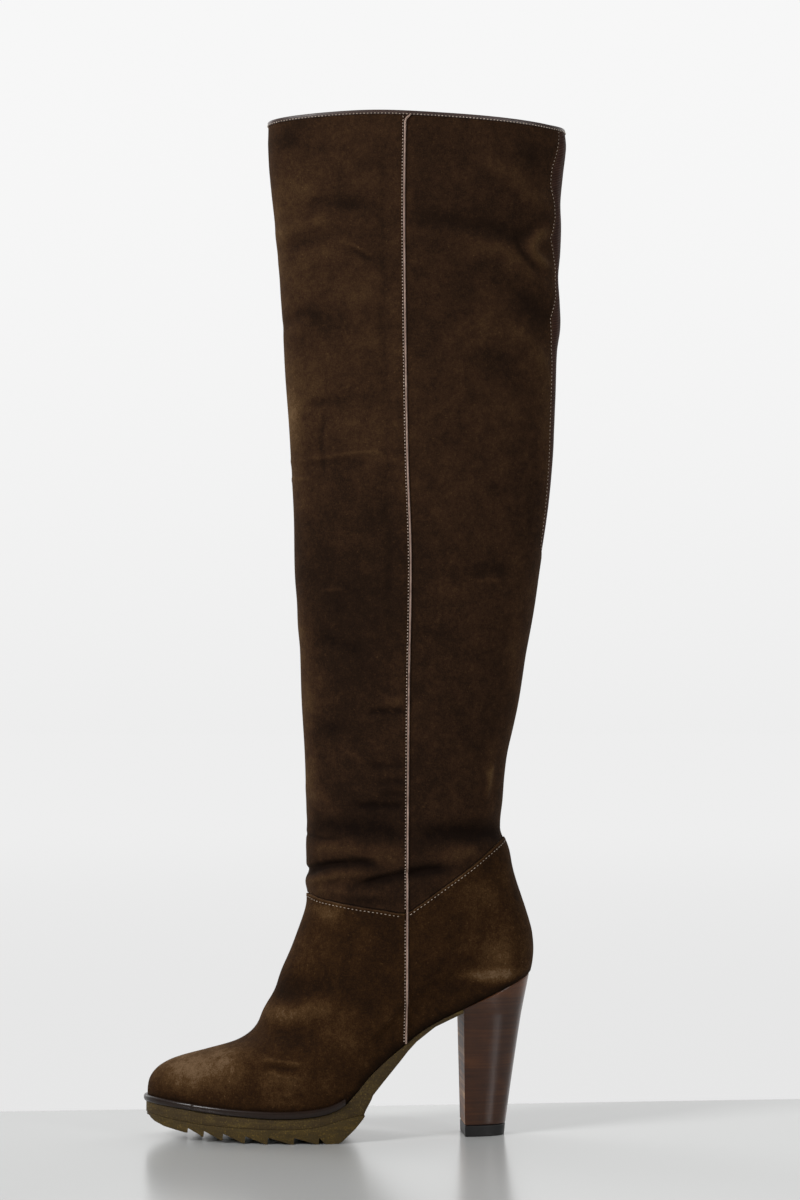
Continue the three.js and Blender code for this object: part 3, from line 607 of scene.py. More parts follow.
class Nodes:
    """A node tree and short ways of adding to it."""

    def __init__(self, tree):
        self.tree = tree
        tree.nodes.clear()

    def put(self, socket, value):
        if isinstance(value, bpy.types.NodeSocket):
            self.tree.links.new(value, socket)
        else:
            socket.default_value = value

    def join(self, node, sockets):
        for key, value in sockets.items():
            self.put(node.inputs[key.replace("_", " ")], value)

    def add(self, kind, settings=None, **sockets):
        node = self.tree.nodes.new(kind)
        for key, value in (settings or {}).items():
            setattr(node, key, value)
        self.join(node, sockets)
        return node

    def math(self, operation, *values):
        node = self.add("ShaderNodeMath", {"operation": operation})
        for socket, value in zip(node.inputs, values):
            self.put(socket, value)
        return node.outputs[0]

    def moved(self, value, span, to=(0.0, 1.0), curve="LINEAR"):
        """A value moved from one range to another."""
        node = self.add("ShaderNodeMapRange", {"interpolation_type": curve}, Value=value,
                        From_Min=span[0], From_Max=span[1], To_Min=to[0], To_Max=to[1])
        return node.outputs[0]


class Finish(Nodes):
    """The nodes of a new material."""

    def __init__(self, name, **shader):
        self.material = bpy.data.materials.new(name)
        self.material.use_nodes = True
        super().__init__(self.material.node_tree)
        self.shader = self.add("ShaderNodeBsdfPrincipled", **shader)
        output = self.add("ShaderNodeOutputMaterial", Surface=self.shader.outputs[0])
        self.surface = output.inputs["Surface"]
        self.place = self.add("ShaderNodeTexCoord").outputs["Object"]

    def level_place(self, squeeze):
        """Coordinates squeezed along X and Y, for patterns that run level."""
        node = self.add("ShaderNodeMapping", Vector=self.place)
        node.inputs["Scale"].default_value = (squeeze, squeeze, 1.0)
        return node.outputs[0]

    def noise(self, size, detail, place=None, rough=0.55):
        """Noise from 0 to 1 with features of about this size in millimetres."""
        where = place if place is not None else self.place
        node = self.add("ShaderNodeTexNoise", Vector=where,
                        Scale=1 / (size * MM), Detail=detail, Roughness=rough)
        return node.outputs["Fac"]

    def blend(self, start, parts):
        """start plus each part's value, less its middle of 0.5, times its weight."""
        total = start
        for value, weight in parts:
            total = self.math("MULTIPLY_ADD", self.math("SUBTRACT", value, 0.5), weight, total)
        return total

    def fleck(self, tone, size, span):
        """A tone made paler where a fine noise is high."""
        return self.math("MULTIPLY_ADD", self.moved(self.noise(size, 2), span), 0.3, tone)

    def ramp(self, value, stops):
        node = self.add("ShaderNodeValToRGB", Fac=value)
        elements = node.color_ramp.elements
        while len(elements) < len(stops):
            elements.new(0.5)
        for element, (place, colour) in zip(elements, stops):
            element.position = place
            element.color = rgb(colour)
        return node.outputs["Color"]

    def bump(self, height, depth, strength, under=None):
        node = self.add("ShaderNodeBump", Height=height, Distance=depth * MM, Strength=strength)
        if under is not None:
            self.put(node.inputs["Normal"], under)
        return node.outputs[0]

    def finished(self, **sockets):
        """The material, with these sockets of its shader joined."""
        self.join(self.shader, sockets)
        return self.material


UNIT = (0.0, 1.0)


def suede_finish(name, base, stops):
    """Brushed suede: a dull nap in patches, paler or darker where the panel's painted tones say, which hold
    brushed nap and painted light and shade, with a faint sheen at the rim.
    """
    f = Finish(name, Roughness=0.95, Specular_IOR_Level=0.06, Sheen_Weight=0.12, Sheen_Roughness=0.4)
    f.shader.inputs["Sheen Tint"].default_value = rgb("a5835f")
    nap_and_shading = f.add("ShaderNodeAttribute", {"attribute_name": "nap_and_shading"}).outputs["Fac"]
    broken = f.math("MULTIPLY", nap_and_shading, f.moved(f.noise(5, 5, rough=0.65), UNIT, (0.4, 1.6)))
    patches = [(34, 3, 0.55, 0.34), (9, 5, 0.65, 0.5), (2.6, 4, 0.55, 0.34), (0.8, 2, 0.55, 0.5)]
    tone = f.blend(f.math("ADD", broken, base),
                   [(f.noise(size, detail, rough=rough), weight) for size, detail, rough, weight in patches])
    soft = f.bump(f.noise(6, 4), 0.7, 0.6)
    grain = f.bump(f.noise(0.75, 3, rough=0.7), 0.35, 0.8, soft)
    return f.finished(Base_Color=f.ramp(f.fleck(tone, 1.3, (0.66, 0.8)), stops), Normal=grain)


def plain_finish(name, stops, parts, grain, rough=None, **shader):
    """Noise in one run of colours over a fine grain. Each part has a size, a detail and a weight; the grain a
    size, a detail, a depth and a strength; rough a noise's size and the range of roughness."""
    f = Finish(name, **shader)
    if rough:
        size, *span = rough
        f.join(f.shader, {"Roughness": f.moved(f.noise(size, 3), UNIT, span)})
    tone = f.blend(0.5, [(f.noise(size, detail), weight) for size, detail, weight in parts])
    size, detail, depth, strength = grain
    return f.finished(Base_Color=f.ramp(tone, stops), Normal=f.bump(f.noise(size, detail), depth, strength))


def smooth_leather(name, dark, pale, rough, coat=0.0, gloss=0.5):
    """Smooth leather edging with a fine grain and rubbed high spots."""
    return plain_finish(name, [(0.15, dark), (0.85, pale)], [(14, 3, 0.9), (2.2, 4, 0.6)],
                        (0.6, 2, 0.12, 0.5), (4, rough - 0.1, rough + 0.14),
                        Specular_IOR_Level=gloss, Coat_Weight=coat, Coat_Roughness=0.18)


def thread_finish(name, dark, pale):
    """Twisted sewing thread."""
    return plain_finish(name, [(0.15, dark), (0.9, pale)], [(6, 2, 0.9), (0.5, 2, 0.5)], (0.35, 2, 0.1, 0.6),
                        Roughness=0.7, Specular_IOR_Level=0.3, Sheen_Weight=0.2)


def crepe_finish(name, dark, middle, pale):
    """Matt moulded crepe rubber: fine speckles, and faint streaks along the sole."""
    f = Finish(name, Specular_IOR_Level=0.3)
    streaks = f.noise(2.4, 4, f.level_place(0.16))
    tone = f.blend(0.5, [(streaks, 0.6), (f.noise(10, 3), 0.4), (f.noise(0.9, 3), 0.8)])
    tone = f.fleck(tone, 0.9, (0.62, 0.72))
    return f.finished(
        Base_Color=f.ramp(tone, [(0.1, dark), (0.5, middle), (0.9, pale)]),
        Roughness=f.moved(f.noise(2, 3), UNIT, (0.62, 0.9)),
        Normal=f.bump(f.noise(0.7, 3), 0.2, 0.5, f.bump(streaks, 0.5, 0.5)),
    )


def stacked_finish(name, colours, layer, contrast, rough, coat, gloss):
    """Stacked leather: fine level layers, with a painted highlight that makes it paler towards the seat, with
    or without a wax coat.
    """
    f = Finish(name, Specular_IOR_Level=gloss, Coat_Weight=coat, Coat_Roughness=0.24)
    layers = f.noise(layer, 2, f.level_place(0.03), 0.6)
    broad = f.noise(3.6 * layer, 2, f.level_place(0.05))
    parts = [(layers, contrast), (broad, 0.45 * contrast), (f.noise(14, 3), 0.5), (f.noise(1.1, 3), 0.15)]
    height = f.add("ShaderNodeSeparateXYZ", Vector=f.place).outputs["Z"]
    # painted highlight: paler from 78 mm up towards the seat
    tone = f.math("MULTIPLY_ADD", f.moved(height, (0.078, 0.1), curve=SMOOTH), 0.3, f.blend(0.5, parts))
    return f.finished(
        Base_Color=f.ramp(tone, list(zip((0.1, 0.5, 0.92), colours))),
        Roughness=f.moved(layers, UNIT, (rough - 0.08, rough + 0.12)),
        Normal=f.bump(layers, 0.08, 0.7),
    )


def stretch_finish(name):
    """Stretch webbing: fine ribs that run round the leg."""
    f = Finish(name, Roughness=0.9, Specular_IOR_Level=0.1, Sheen_Weight=0.08, Sheen_Roughness=0.4)
    wave = f.add("ShaderNodeTexWave", {"bands_direction": "Z"}, Vector=f.place, Scale=300.0, Distortion=0.4)
    ribs = wave.outputs["Fac"]
    tone = f.blend(0.45, [(ribs, 0.45), (f.noise(9, 3), 0.5), (f.noise(0.8, 2), 0.3)])
    stops = [(0.1, "1f120d"), (0.5, "362119"), (0.95, "553a2e")]
    return f.finished(Base_Color=f.ramp(tone, stops), Normal=f.bump(ribs, 0.3, 0.8))


MATERIALS = {
    "foot": suede_finish("foot_suede", 0.455, [
        (0.0, "150c05"), (0.3, "23150a"), (0.5, "33200f"), (0.74, "4c361f"), (1.0, "6d563f"),
    ]),
    "leg": suede_finish("leg_suede", 0.45, [
        (0.0, "160d08"), (0.3, "25180f"), (0.5, "352316"), (0.74, "483420"), (1.0, "634c33"),
    ]),
    "binding": smooth_leather("binding_leather", "291b16", "48352f", 0.42),
    "piping": smooth_leather("piping_leather", "6b5144", "b4998a", 0.45),
    "rand": smooth_leather("rand_leather", "130b07", "281911", 0.4, 0.5, 0.12),
    "crepe": crepe_finish("crepe", "2a1e0a", "3e2f13", "625022"),
    "outsole": crepe_finish("outsole_crepe", "2a200a", "413210", "644f1c"),
    "heel": stacked_finish("stacked_leather", ("1c0d05", "3a1e0b", "5e3413"), 1.4, 0.6, 0.4, 0.68, 0.1),
    # The breast's copy is painted much paler than the heel: painted light on the breast face, which the foot
    # shades from the key lamp; its bands are the leather's layers.
    "breast": stacked_finish("breast_leather_painted_light", ("2c190e", "70492e", "c29a74"), 3.0, 1.3, 0.5, 0.0, 0.3),
    "lift": plain_finish("lift_rubber", [(0.2, "0a0909"), (0.9, "1d1a19")], [(5, 3, 0.6), (0.8, 2, 0.4)],
                         (0.8, 3, 0.15, 0.5), (3, 0.42, 0.66), Specular_IOR_Level=0.4),
    "lining": plain_finish("lining_leather", [(0.1, "4f3624"), (0.5, "6f4f36"), (0.95, "8d6a4b")],
                           [(26, 3, 0.6), (4, 4, 0.4), (0.9, 2, 0.3)], (0.8, 3, 0.12, 0.5),
                           Roughness=0.62, Specular_IOR_Level=0.35),
    "stretch": stretch_finish("stretch_insert"),
    "thread": thread_finish("thread", "8d7667", "d6c3b2"),
    "edge_thread": thread_finish("collar_thread", "93806f", "d8c8b6"),
}

# Suede panels.

BINDING_DROP = 2.8  # height of the collar's leather edging
BINDING_LEVEL = TOP_LEVEL - BINDING_DROP / TOP_STEP
SEAM_HALF = 0.5  # gap each side of the side seam's line, which the piping fills
ANKLE_GAP = 0.012  # levels between the ankle seam and each panel's edge
HOOK_Z = 623.2  # above this the piping bends back under the collar's edging
HOOK_RADIUS = 4.6


def seam_shifted(level, shift):
    """Angle at a small distance in x from the outer side seam."""
    span = at_row(LEVELS, "back_x", level) - at_row(LEVELS, "front_x", level)
    return seam_angle(level) + shift / (0.5 * span * np.sin(seam_angle(level)))


def seam_hook(level):
    """How far the seam and its piping bend back, in a quarter turn, just under the collar's edging."""
    share = np.clip((at_row(LEVELS, "front_z", level) - HOOK_Z) / HOOK_RADIUS, 0, 0.97)
    return HOOK_RADIUS * (1 - np.sqrt(1 - share**2))


# Where the panels end: levels against angle below and above, and angles against level at the sides.
ENDS = {
    "seat": lambda angle: 0 * angle,
    "below ankle": lambda angle: ankle_level(angle) - ANKLE_GAP,
    "above ankle": lambda angle: ankle_level(angle) + ANKLE_GAP,
    "collar": lambda angle: 0 * angle + BINDING_LEVEL,
}
SIDES = {
    "ahead": lambda level: seam_shifted(level, seam_hook(level) - SEAM_HALF),
    "behind": lambda level: seam_shifted(level, seam_hook(level) + SEAM_HALF),
    "inner ahead": lambda level: -SIDES["ahead"](level),
    "inner behind": lambda level: -SIDES["behind"](level),
    "round the back": lambda level: 2 * PI - SIDES["behind"](level),
    "insert": lambda level: insert_edge(level, 1),
    "inner insert": lambda level: -insert_edge(level, -1),
}

# Each edge of a panel: how far it rises, over what distance that dies away, and how much paler it is painted,
# below 0 darker: paler wear on the foot's cut top edge, a painted highlight beside the insert, painted shade
# where an edge tucks under its neighbour.
LEG = {"low": (-0.4, 5, -0.3), "high": (0, 5, 0)}
FOOT = {"low": (0, 5, -0.2), "high": (0.45, 7, 0.26)}
LAPPED, UNDER, BESIDE_INSERT = (0.3, 5, -0.35), (-0.2, 3, -0.1), (0, 5, 0.3)

# Panels: lines up and across, height and width, low and high end, left and right side with how each is
# finished, the other edges, the material, and how much paler the suede is painted. The back panels are
# painted darker, partly their nap and partly painted shade on the side turned from the key lamp.
PANELS = {
    "leg_front": ((470, 112), (480, 200), ("above ankle", "collar"),
                  {"inner ahead": LAPPED, "ahead": LAPPED}, LEG, "leg", 0.0),
    "leg_back_outer": ((440, 80), (440, 110), ("above ankle", "collar"),
                       {"behind": UNDER, "insert": BESIDE_INSERT}, LEG, "leg", -0.05),
    "leg_back_inner": ((440, 80), (440, 110), ("above ankle", "collar"),
                       {"inner insert": BESIDE_INSERT, "inner behind": UNDER}, LEG, "leg", -0.05),
    "foot_front": ((150, 210), (90, 380), ("seat", "below ankle"),
                   {"inner ahead": LAPPED, "ahead": LAPPED}, FOOT, "foot", 0.0),
    "foot_back": ((110, 150), (80, 190), ("seat", "below ankle"),
                  {"behind": UNDER, "round the back": UNDER}, FOOT, "foot", 0.0),
}
panels = {}
for name, (counts, size, ends, sides, edges, finish, paler) in PANELS.items():
    grid = panel_grid(counts, size, [ENDS[end] for end in ends], [SIDES[side] for side in sides])
    left, right = sides.values()
    panels[name] = suede_panel(name, grid, {**edges, "left": left, "right": right}, MATERIALS[finish], paler)


def full_turn(count):
    return np.linspace(0, 2 * PI, count, endpoint=False)


def squared(value, power):
    """A sine or cosine raised to a power with its sign kept, for sections with rounded corners."""
    return np.sign(value) * np.abs(value) ** power


LINING_DEPTH, LINING_THICK = 1.9, 0.45
LINING_ROWS = [(24, 132, 4.5), (132, 275, 1.7), (275, 480, 5), (480, 628, 1.7)]  # finer where there are folds


def build_lining():
    """Leather lining from the sole to the collar."""
    row_z = np.concatenate([np.arange(*run) for run in LINING_ROWS])
    levels = np.interp(row_z, LEVELS["front_z"], np.arange(TOP_LEVEL + 1))
    levels = [*levels[levels < BINDING_LEVEL - 0.05], BINDING_LEVEL + 0.02]
    sections = [surface(full_turn(110), level, -LINING_DEPTH) for level in levels]
    sections += [surface(full_turn(110), level, -LINING_DEPTH - LINING_THICK) for level in reversed(levels)]
    return mesh_object("lining", *loft(sections), MATERIALS["lining"])


INSERT_FOOT_Z = 350  # lowest point of the stretch insert, under the back panels
INSERT_HALF = (9, 20)  # its half-width there and further up
INSERT_OUT, INSERT_TUCK, INSERT_THICK = -0.6, 0.72, 0.4


def build_insert():
    """Stretch webbing behind the leg: level with the suede in the middle and tucked under it at its sides."""
    foot = np.interp(INSERT_FOOT_Z, LEVELS["back_z"], np.arange(TOP_LEVEL + 1))
    level = np.linspace(foot, BINDING_LEVEL, 160)[:, None]
    low, high = INSERT_HALF
    across = (low + (high - low) * smooth_step(0, 1.5, level - foot)) * np.linspace(-1, 1, 41)
    angle = PI - np.arcsin(across / at_row(LEVELS, "half", level))
    edge = np.interp(at_row(LEVELS, "back_z", level), INSERT_EDGE["z"], INSERT_EDGE["half"])
    out = INSERT_OUT - INSERT_TUCK * smooth_step(-5, -1, np.abs(across) - edge)
    outside, inside = surface(angle, level, out), surface(angle, level, out - INSERT_THICK)
    sections = np.concatenate([outside, inside[:, ::-1]], 1)
    return mesh_object("stretch_insert", *loft(sections, closed=False), MATERIALS["stretch"], 60)


BINDING_OUT, BINDING_HALF, BINDING_CORNER = -1.15, 1.4, 0.45
COLLAR_SUNK = 0.6


def collar_sunk(angle):
    """How far the collar's edging is drawn in at the back, over the stretch insert."""
    return COLLAR_SUNK * smooth_step(0.8, 1.0, -np.cos(angle))


def build_binding():
    """Leather edging folded over the collar, rounded along its top."""
    angle, turn = full_turn(240), full_turn(24)
    middle = BINDING_OUT - collar_sunk(angle)
    sections = []
    for across, up in zip(squared(np.cos(turn), BINDING_CORNER), squared(np.sin(turn), BINDING_CORNER)):
        level = TOP_LEVEL - BINDING_DROP / 2 * (1 - up) / TOP_STEP
        sections.append(surface(angle, level, middle + BINDING_HALF * across))
    return mesh_object("collar_binding_leather", *loft(sections), MATERIALS["binding"])


lining, insert, binding = build_lining(), build_insert(), build_binding()

# Piping and stitches.

PIPING_OUT, PIPING_RADIUS, PIPING_END = 0.28, 0.62, 0.55


def frames(points, normals):
    """Unit tangents, sideways and outward directions along a line on a surface."""
    tangent = np.gradient(points, axis=0)
    tangent /= np.linalg.norm(tangent, axis=1, keepdims=True)
    side = np.cross(tangent, normals)
    side /= np.linalg.norm(side, axis=1, keepdims=True)
    return tangent, side, np.cross(side, tangent)


def build_piping(name, side):
    """Piping up one side seam, from the sole to the collar. side is 1 on the outer side and -1 inside."""
    level = np.linspace(0.02, BINDING_LEVEL + 0.02, 520)
    angle = side * seam_shifted(level, seam_hook(level))
    points = surface(angle, level, PIPING_OUT)
    _, across, out = frames(points, outward(angle, level))
    turn = full_turn(10)[:, None]
    ring = PIPING_RADIUS * (np.cos(turn) * across[:, None] + np.sin(turn) * out[:, None])
    ring[[0, -1]] *= PIPING_END
    return mesh_object(name, *loft(points[:, None] + ring, closed=False), MATERIALS["piping"], 60)


def capsule(sides=6):
    """Points and faces of one stitch of unit length along X, sunk at both ends."""
    half = [(0.2, 1, 0), (0.42, 0.7, -0.25), (0.5, 0.15, -0.7)]
    rings = [(-x, radius, drop) for x, radius, drop in reversed(half)] + half
    turn = full_turn(sides)
    return loft([np.stack([np.full(sides, x), radius * np.cos(turn), radius * np.sin(turn) + drop], -1)
                 for x, radius, drop in rings], closed=False)


def stitches(angle, level, out, pitch, share, radius):
    """Points and faces of a row of stitches along a line. share says how much of the pitch each one fills."""
    line = np.hstack([surface(angle, level, out), outward(angle, level)])
    length = np.concatenate([[0], np.linalg.norm(np.diff(line[:, :3], axis=0), axis=1).cumsum()])
    wanted = np.arange(pitch / 2, length[-1], pitch)
    places, normals = np.split(np.stack([np.interp(wanted, length, column) for column in line.T], -1), 2, 1)
    shape, shape_faces = capsule()
    local = shape * np.array([pitch * share, radius, radius])
    points = places[:, None] + np.einsum("vk,nkc->nvc", local, np.stack(frames(places, normals), 1))
    faces = [[i * len(shape) + j for j in face] for i in range(len(places)) for face in shape_faces]
    return points.reshape(-1, 3), faces


def stitch_piece(name, rows, finish):
    """One piece from several rows of stitches."""
    faces, start = [], 0
    for row_points, row_faces in rows:
        faces += [[start + j for j in face] for face in row_faces]
        start += len(row_points)
    return mesh_object(name, np.concatenate([points for points, _ in rows]), faces, MATERIALS[finish], 60)


# Rows of stitches: how far out, pitch, the share of it that a stitch fills, and radius.
SIDE_ROW, ANKLE_ROW = (0.36, 2.0, 0.46, 0.34), (0.46, 2.6, 0.46, 0.2)
EDGE_ROW, COLLAR_ROW = (0.02, 2.4, 0.5, 0.2), (0.34, 2.2, 0.42, 0.32)
BESIDE_SEAM = 1.3  # from the seam's line, or the panel's edge, to the stitches beside it
BELOW_ANKLE = 1.9


def side_rows(side):
    """Stitches beside the piping, on the front panels of leg and foot."""
    meets = float(ankle_level(SEAM_ANGLE[700]))
    for low, high in ((0.35, meets - 0.06), (meets + 0.1, BINDING_LEVEL - 0.01)):
        level = np.linspace(low, high, 500)
        angle = side * np.interp(level, RUN, seam_shifted(RUN, -BESIDE_SEAM))
        yield stitches(angle, level, *SIDE_ROW)


def ankle_rows():
    """Stitches along the foot's upper edge, a little below it."""
    seam = seam_angle(ankle_level(1.3))
    for low, high in ((-seam, seam), (seam, 2 * PI - seam)):
        angle = np.linspace(low + 0.03, high - 0.03, 400)
        level = ankle_level(angle)
        rise = last_point(angle, level + 0.1) - last_point(angle, level)
        yield stitches(angle, level - 0.1 * BELOW_ANKLE / np.linalg.norm(rise, axis=1), *ANKLE_ROW)


def edge_row(side):
    """Stitches along the back panel's edge beside the stretch insert, and down the centre seam."""
    level = np.linspace(19, BINDING_LEVEL - 0.02, 400)
    angle = side * (insert_edge(level, side) - BESIDE_SEAM / at_row(LEVELS, "half", level))
    return stitches(angle, level, *EDGE_ROW)


def collar_row():
    angle = np.linspace(0, 2 * PI, 900)
    level = np.full(900, TOP_LEVEL - (BINDING_DROP - 0.5) / TOP_STEP)
    out, *stitch = COLLAR_ROW
    return stitches(angle, level, out - collar_sunk(angle), *stitch)


piping_outer, piping_inner = build_piping("piping_outer", 1), build_piping("piping_inner", -1)
side_stitches = stitch_piece("side_stitches", [*side_rows(1), *side_rows(-1)], "thread")
ankle_stitches = stitch_piece("ankle_stitches", [*ankle_rows()], "edge_thread")
edge_stitches = stitch_piece("insert_stitches", [edge_row(1), edge_row(-1)], "thread")
collar_stitches = stitch_piece("collar_stitches", [collar_row()], "edge_thread")

# Sole.

SEAT_FRONT, SEAT_BACK = LEVELS["front_x"][0], LEVELS["back_x"][0]
PLATFORM_TIP, OUTSOLE_TIP = 1.4, 0.9  # how far each stands out at the toe


def seat_edge(angle, out):
    """Points of the seat's outline, moved out."""
    return last_point(angle, 0) + outward(angle, 0) * np.reshape(out, (-1, 1))


def plan_angle(x, side, out):
    """Angle at which the seat's outline, moved out, reaches x on one side."""
    base = x
    for _ in range(8):
        along = np.clip((base - SEAT_FRONT) / (SEAT_BACK - SEAT_FRONT), 0, 1)
        angle = side * np.arccos(1 - 2 * along)
        base = np.clip(base + x - seat_edge(angle, out)[:, 0], SEAT_FRONT, SEAT_BACK)
    return angle


def toe_stations(out, until):
    """Places along the sole from its tip, close together round the toe."""
    return until - (until - SEAT_FRONT + out) * np.cos(np.linspace(0, PI / 2, 40))


def slab(name, stations, top, bottom, out, rounded, finish):
    """A flat body under the foot: the seat's outline moved out, between two lines seen from the side, with
    its top and bottom edges rounded."""
    x = np.unique(np.round(stations, 4))
    outs, low_z, high_z = out(x), bottom(x), top(x)
    high_round, low_round = rounded
    quarter = [(1 - math.sin(q), 1 - math.cos(q)) for q in np.linspace(0, PI / 2, 4)]
    profile = [(low_round * inset, low_z + low_round * rise) for inset, rise in quarter]
    profile += [(0, low_z + (high_z - low_z) * share) for share in (0.33, 0.66)]
    profile += [(high_round * inset, high_z - high_round * rise) for inset, rise in reversed(quarter)]
    walls = []
    for side in (1, -1):
        columns = []
        for inset, z in profile:
            point = seat_edge(plan_angle(x, side, outs - inset), outs - inset)
            columns.append(np.stack([np.maximum(point[:, 0], x), point[:, 1], z], -1))
        walls.append(np.stack(columns, 1))
    share = np.linspace(0, 1, 9)[1:-1, None]
    sections = []
    for outer, inner in zip(*walls):
        top_row = outer[-1] + (inner[-1] - outer[-1]) * share
        low_row = inner[0] + (outer[0] - inner[0]) * share
        sections.append(np.concatenate([outer, top_row, inner[::-1], low_row]))
    return mesh_object(name, *loft(sections, closed=False), MATERIALS[finish], 50)


def groove_z(x):
    return look_up(GROOVE, "x", "z", x)


def platform_out(x):
    return 0.1 + (PLATFORM_TIP - 0.1) * (1 - smooth_step(-12, 4, x))


def platform_bottom(x):
    return np.where(x < ARCH["x"][0], groove_z(x), np.interp(x, ARCH["x"], ARCH["z"]))


def build_platform():
    stations = np.concatenate([toe_stations(PLATFORM_TIP, -112), np.arange(-112, 63.5, 1.5), ARCH["x"]])
    return slab("platform_crepe", stations, lambda x: seat_z(x) - GAP, platform_bottom, platform_out,
                (0.4, 0.3), "crepe")


def tooth_profile():
    """Underside of the outsole from the toe back: teeth that drop to a tip and step straight back up."""
    points = list(SOLE_TOE)
    tips = list(zip(*TEETH.values()))
    for (tip_x, tip_z, step), (next_x, next_z, *_) in zip(tips, tips[1:] + SOLE_BACK[:1]):
        root_z = tip_z + step + TOOTH_DEEPER
        points += [(tip_x - TOOTH_FLAT, tip_z), (tip_x - 0.25, tip_z)]
        points += [(tip_x, tip_z + 0.3), (tip_x + 0.3, root_z)]
        belly = [(0.25, 0.24), (0.5, 0.52), (0.75, 0.8)]
        points += [(tip_x + u * (next_x - tip_x), root_z + v * (next_z - root_z)) for u, v in belly]
    return np.array(points + SOLE_BACK)


def outsole_out(x):
    return 1.7 - (1.7 - OUTSOLE_TIP) * (1 - smooth_step(-132, -116, x))


def build_outsole():
    profile = tooth_profile()
    behind_toe = profile[profile[:, 0] > -118, 0]
    stations = np.concatenate([toe_stations(OUTSOLE_TIP, -118), behind_toe, np.arange(-117, 2, 2)])
    return slab("outsole_crepe_teeth", stations[stations <= SOLE_BACK[-1][0]], lambda x: groove_z(x) - 0.05,
                lambda x: np.interp(x, *profile.T), outsole_out, (0.35, 0.35), "outsole")


RAND_JOINT_X = -101.5  # where the strip's end laps over its start, on the outer side
RAND_OUT, RAND_HALF, RAND_CORNER = 1.55, 1.25, 0.7
RAND_LEAN = 0.35  # how much further in its top edge is
LAP_STEP, LAP_FADE = 0.55, 0.12


def build_rand():
    """Polished strip round the foot, lapped at one place, with its ends at the sides of the arch."""
    across, up = (squared(wave(full_turn(28)), RAND_CORNER) for wave in (np.cos, np.sin))
    level = RAND_LEVEL * (0.5 + 0.5 * up)
    joint = plan_angle(np.array([RAND_JOINT_X]), 1, 2.0)[0]
    sections = []
    for angle in np.linspace(PI / 2, -PI / 2, 260):
        lap = LAP_STEP / 2 * math.exp((joint - angle) / LAP_FADE) if angle > joint else 0
        out = RAND_OUT + lap + (RAND_HALF + lap) * across - RAND_LEAN * np.maximum(0, up)
        sections.append(last_point(angle, level) + outward(angle, level) * out[:, None])
    return mesh_object("rand_strip", *loft(sections, closed=False), MATERIALS["rand"], 60)


# Heel.


def heel_ring(height, inset):
    """Corner points of the heel's D section at a height, flat breast last, with its corners rounded."""
    breast, back, half = (look_up(HEEL, "z", column, height) for column in ("breast", "back", "half"))
    breast, back, half = breast + inset, back - inset, half - inset
    turn = np.linspace(-PI / 2, PI / 2, 72)
    x = breast + (back - breast) * np.abs(np.cos(turn)) ** (2 / HEEL_SQUARE)
    curve = np.stack([x, -half * squared(np.sin(turn), 2 / HEEL_SQUARE)], -1)
    flat = [(breast, half * share) for share in np.linspace(-1, 1, 16)[1:-1]]
    return np.concatenate([curve, flat])


def heel_block(name, low, high, count, edge, height_at, finish):
    """A block of D sections between two heights, with rounded edges. height_at puts a point at its height."""
    near = edge * (1 - np.cos(np.arange(3) * PI / 6))
    heights = np.concatenate([low + near, np.linspace(low + edge, high - edge, count), high - near[::-1]])
    sections = []
    for i, height in enumerate(heights):
        from_end = min(i, len(heights) - 1 - i, 3)
        ring = heel_ring(height, edge * (1 - math.sin(from_end * PI / 6)))
        sections.append(np.column_stack([ring, height_at(height, ring[:, 0])]))
    return mesh_object(name, *loft(sections, closed=False), MATERIALS[finish], 42)


def heel_height(height, x):
    """Layers are level low down and tilt towards the seat above."""
    share = (height - HEEL_LEVEL_Z) / (HEEL_TOP_Z - HEEL_LEVEL_Z)
    seat = HEEL_LEVEL_Z + share * (seat_z(x) - GAP - HEEL_LEVEL_Z)
    return np.where(height > HEEL_LEVEL_Z, seat, height)


HEEL_EDGE, LIFT_EDGE = 0.7, 0.5  # radii of their rounded edges

platform, outsole, rand = build_platform(), build_outsole(), build_rand()
heel = heel_block("heel_stack", LIFT_TOP, HEEL_TOP_Z, 60, HEEL_EDGE, heel_height, "heel")
heel.data.materials.append(MATERIALS["breast"])
# The breast faces take the paler breast finish, painted light.
for face in heel.data.polygons:
    face.material_index = int(face.normal.x < -0.9)
lift = heel_block("lift_rubber", 0, LIFT_TOP - GAP, 6, LIFT_EDGE, lambda height, x: height + 0 * x, "lift")

# Pieces and their frame.

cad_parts["insole"].data.materials.clear()
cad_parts["insole"].data.materials.append(MATERIALS["lining"])

PIECES = [
    (panels["foot_front"], "upper_suede", ["upper"]),
    (panels["foot_back"], "upper_suede", ["upper"]),
    (panels["leg_front"], "shaft_suede", ["shaft_front"]),
    (panels["leg_back_outer"], "shaft_suede", ["shaft_back_outer"]),
    (panels["leg_back_inner"], "shaft_suede", ["shaft_back_inner"]),
    (lining, "insole_lining", []),
    (insert, "stretch_insert", ["back_gusset"]),
    (binding, "binding_leather", ["collar_binding"]),
    (piping_outer, "binding_leather", []),
    (piping_inner, "binding_leather", []),
    (side_stitches, "binding_leather", []),
    (ankle_stitches, "binding_leather", []),
    (edge_stitches, "binding_leather", []),
    (collar_stitches, "binding_leather", []),
    (rand, "rand_leather", ["rand"]),
    (platform, "crepe", ["platform"]),
    (outsole, "outsole_crepe", ["outsole"]),
    (heel, "stacked_leather", ["heel"]),
    (lift, "top_lift_rubber", ["top_lift"]),
]
for piece, slot, nodes in PIECES:
    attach(piece, "root")
    if nodes:
        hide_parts(*nodes)

# Studio, in metres.

WALL_Y = 0.1345  # how far behind the boot the grey floor gives way to the white sweep
WALL_TURN = -0.04  # the sweep's edge runs a little askew
WALL_SOFT = 0.002
WALL_LOW, WALL_HIGH = 0.72, 0.93
SWEEP_NEAR = 0.795  # brightness of the sweep's foot, which grows to the studio's own further back
ROOM_GREY = 0.17
FLOOR_HALF = 40.0


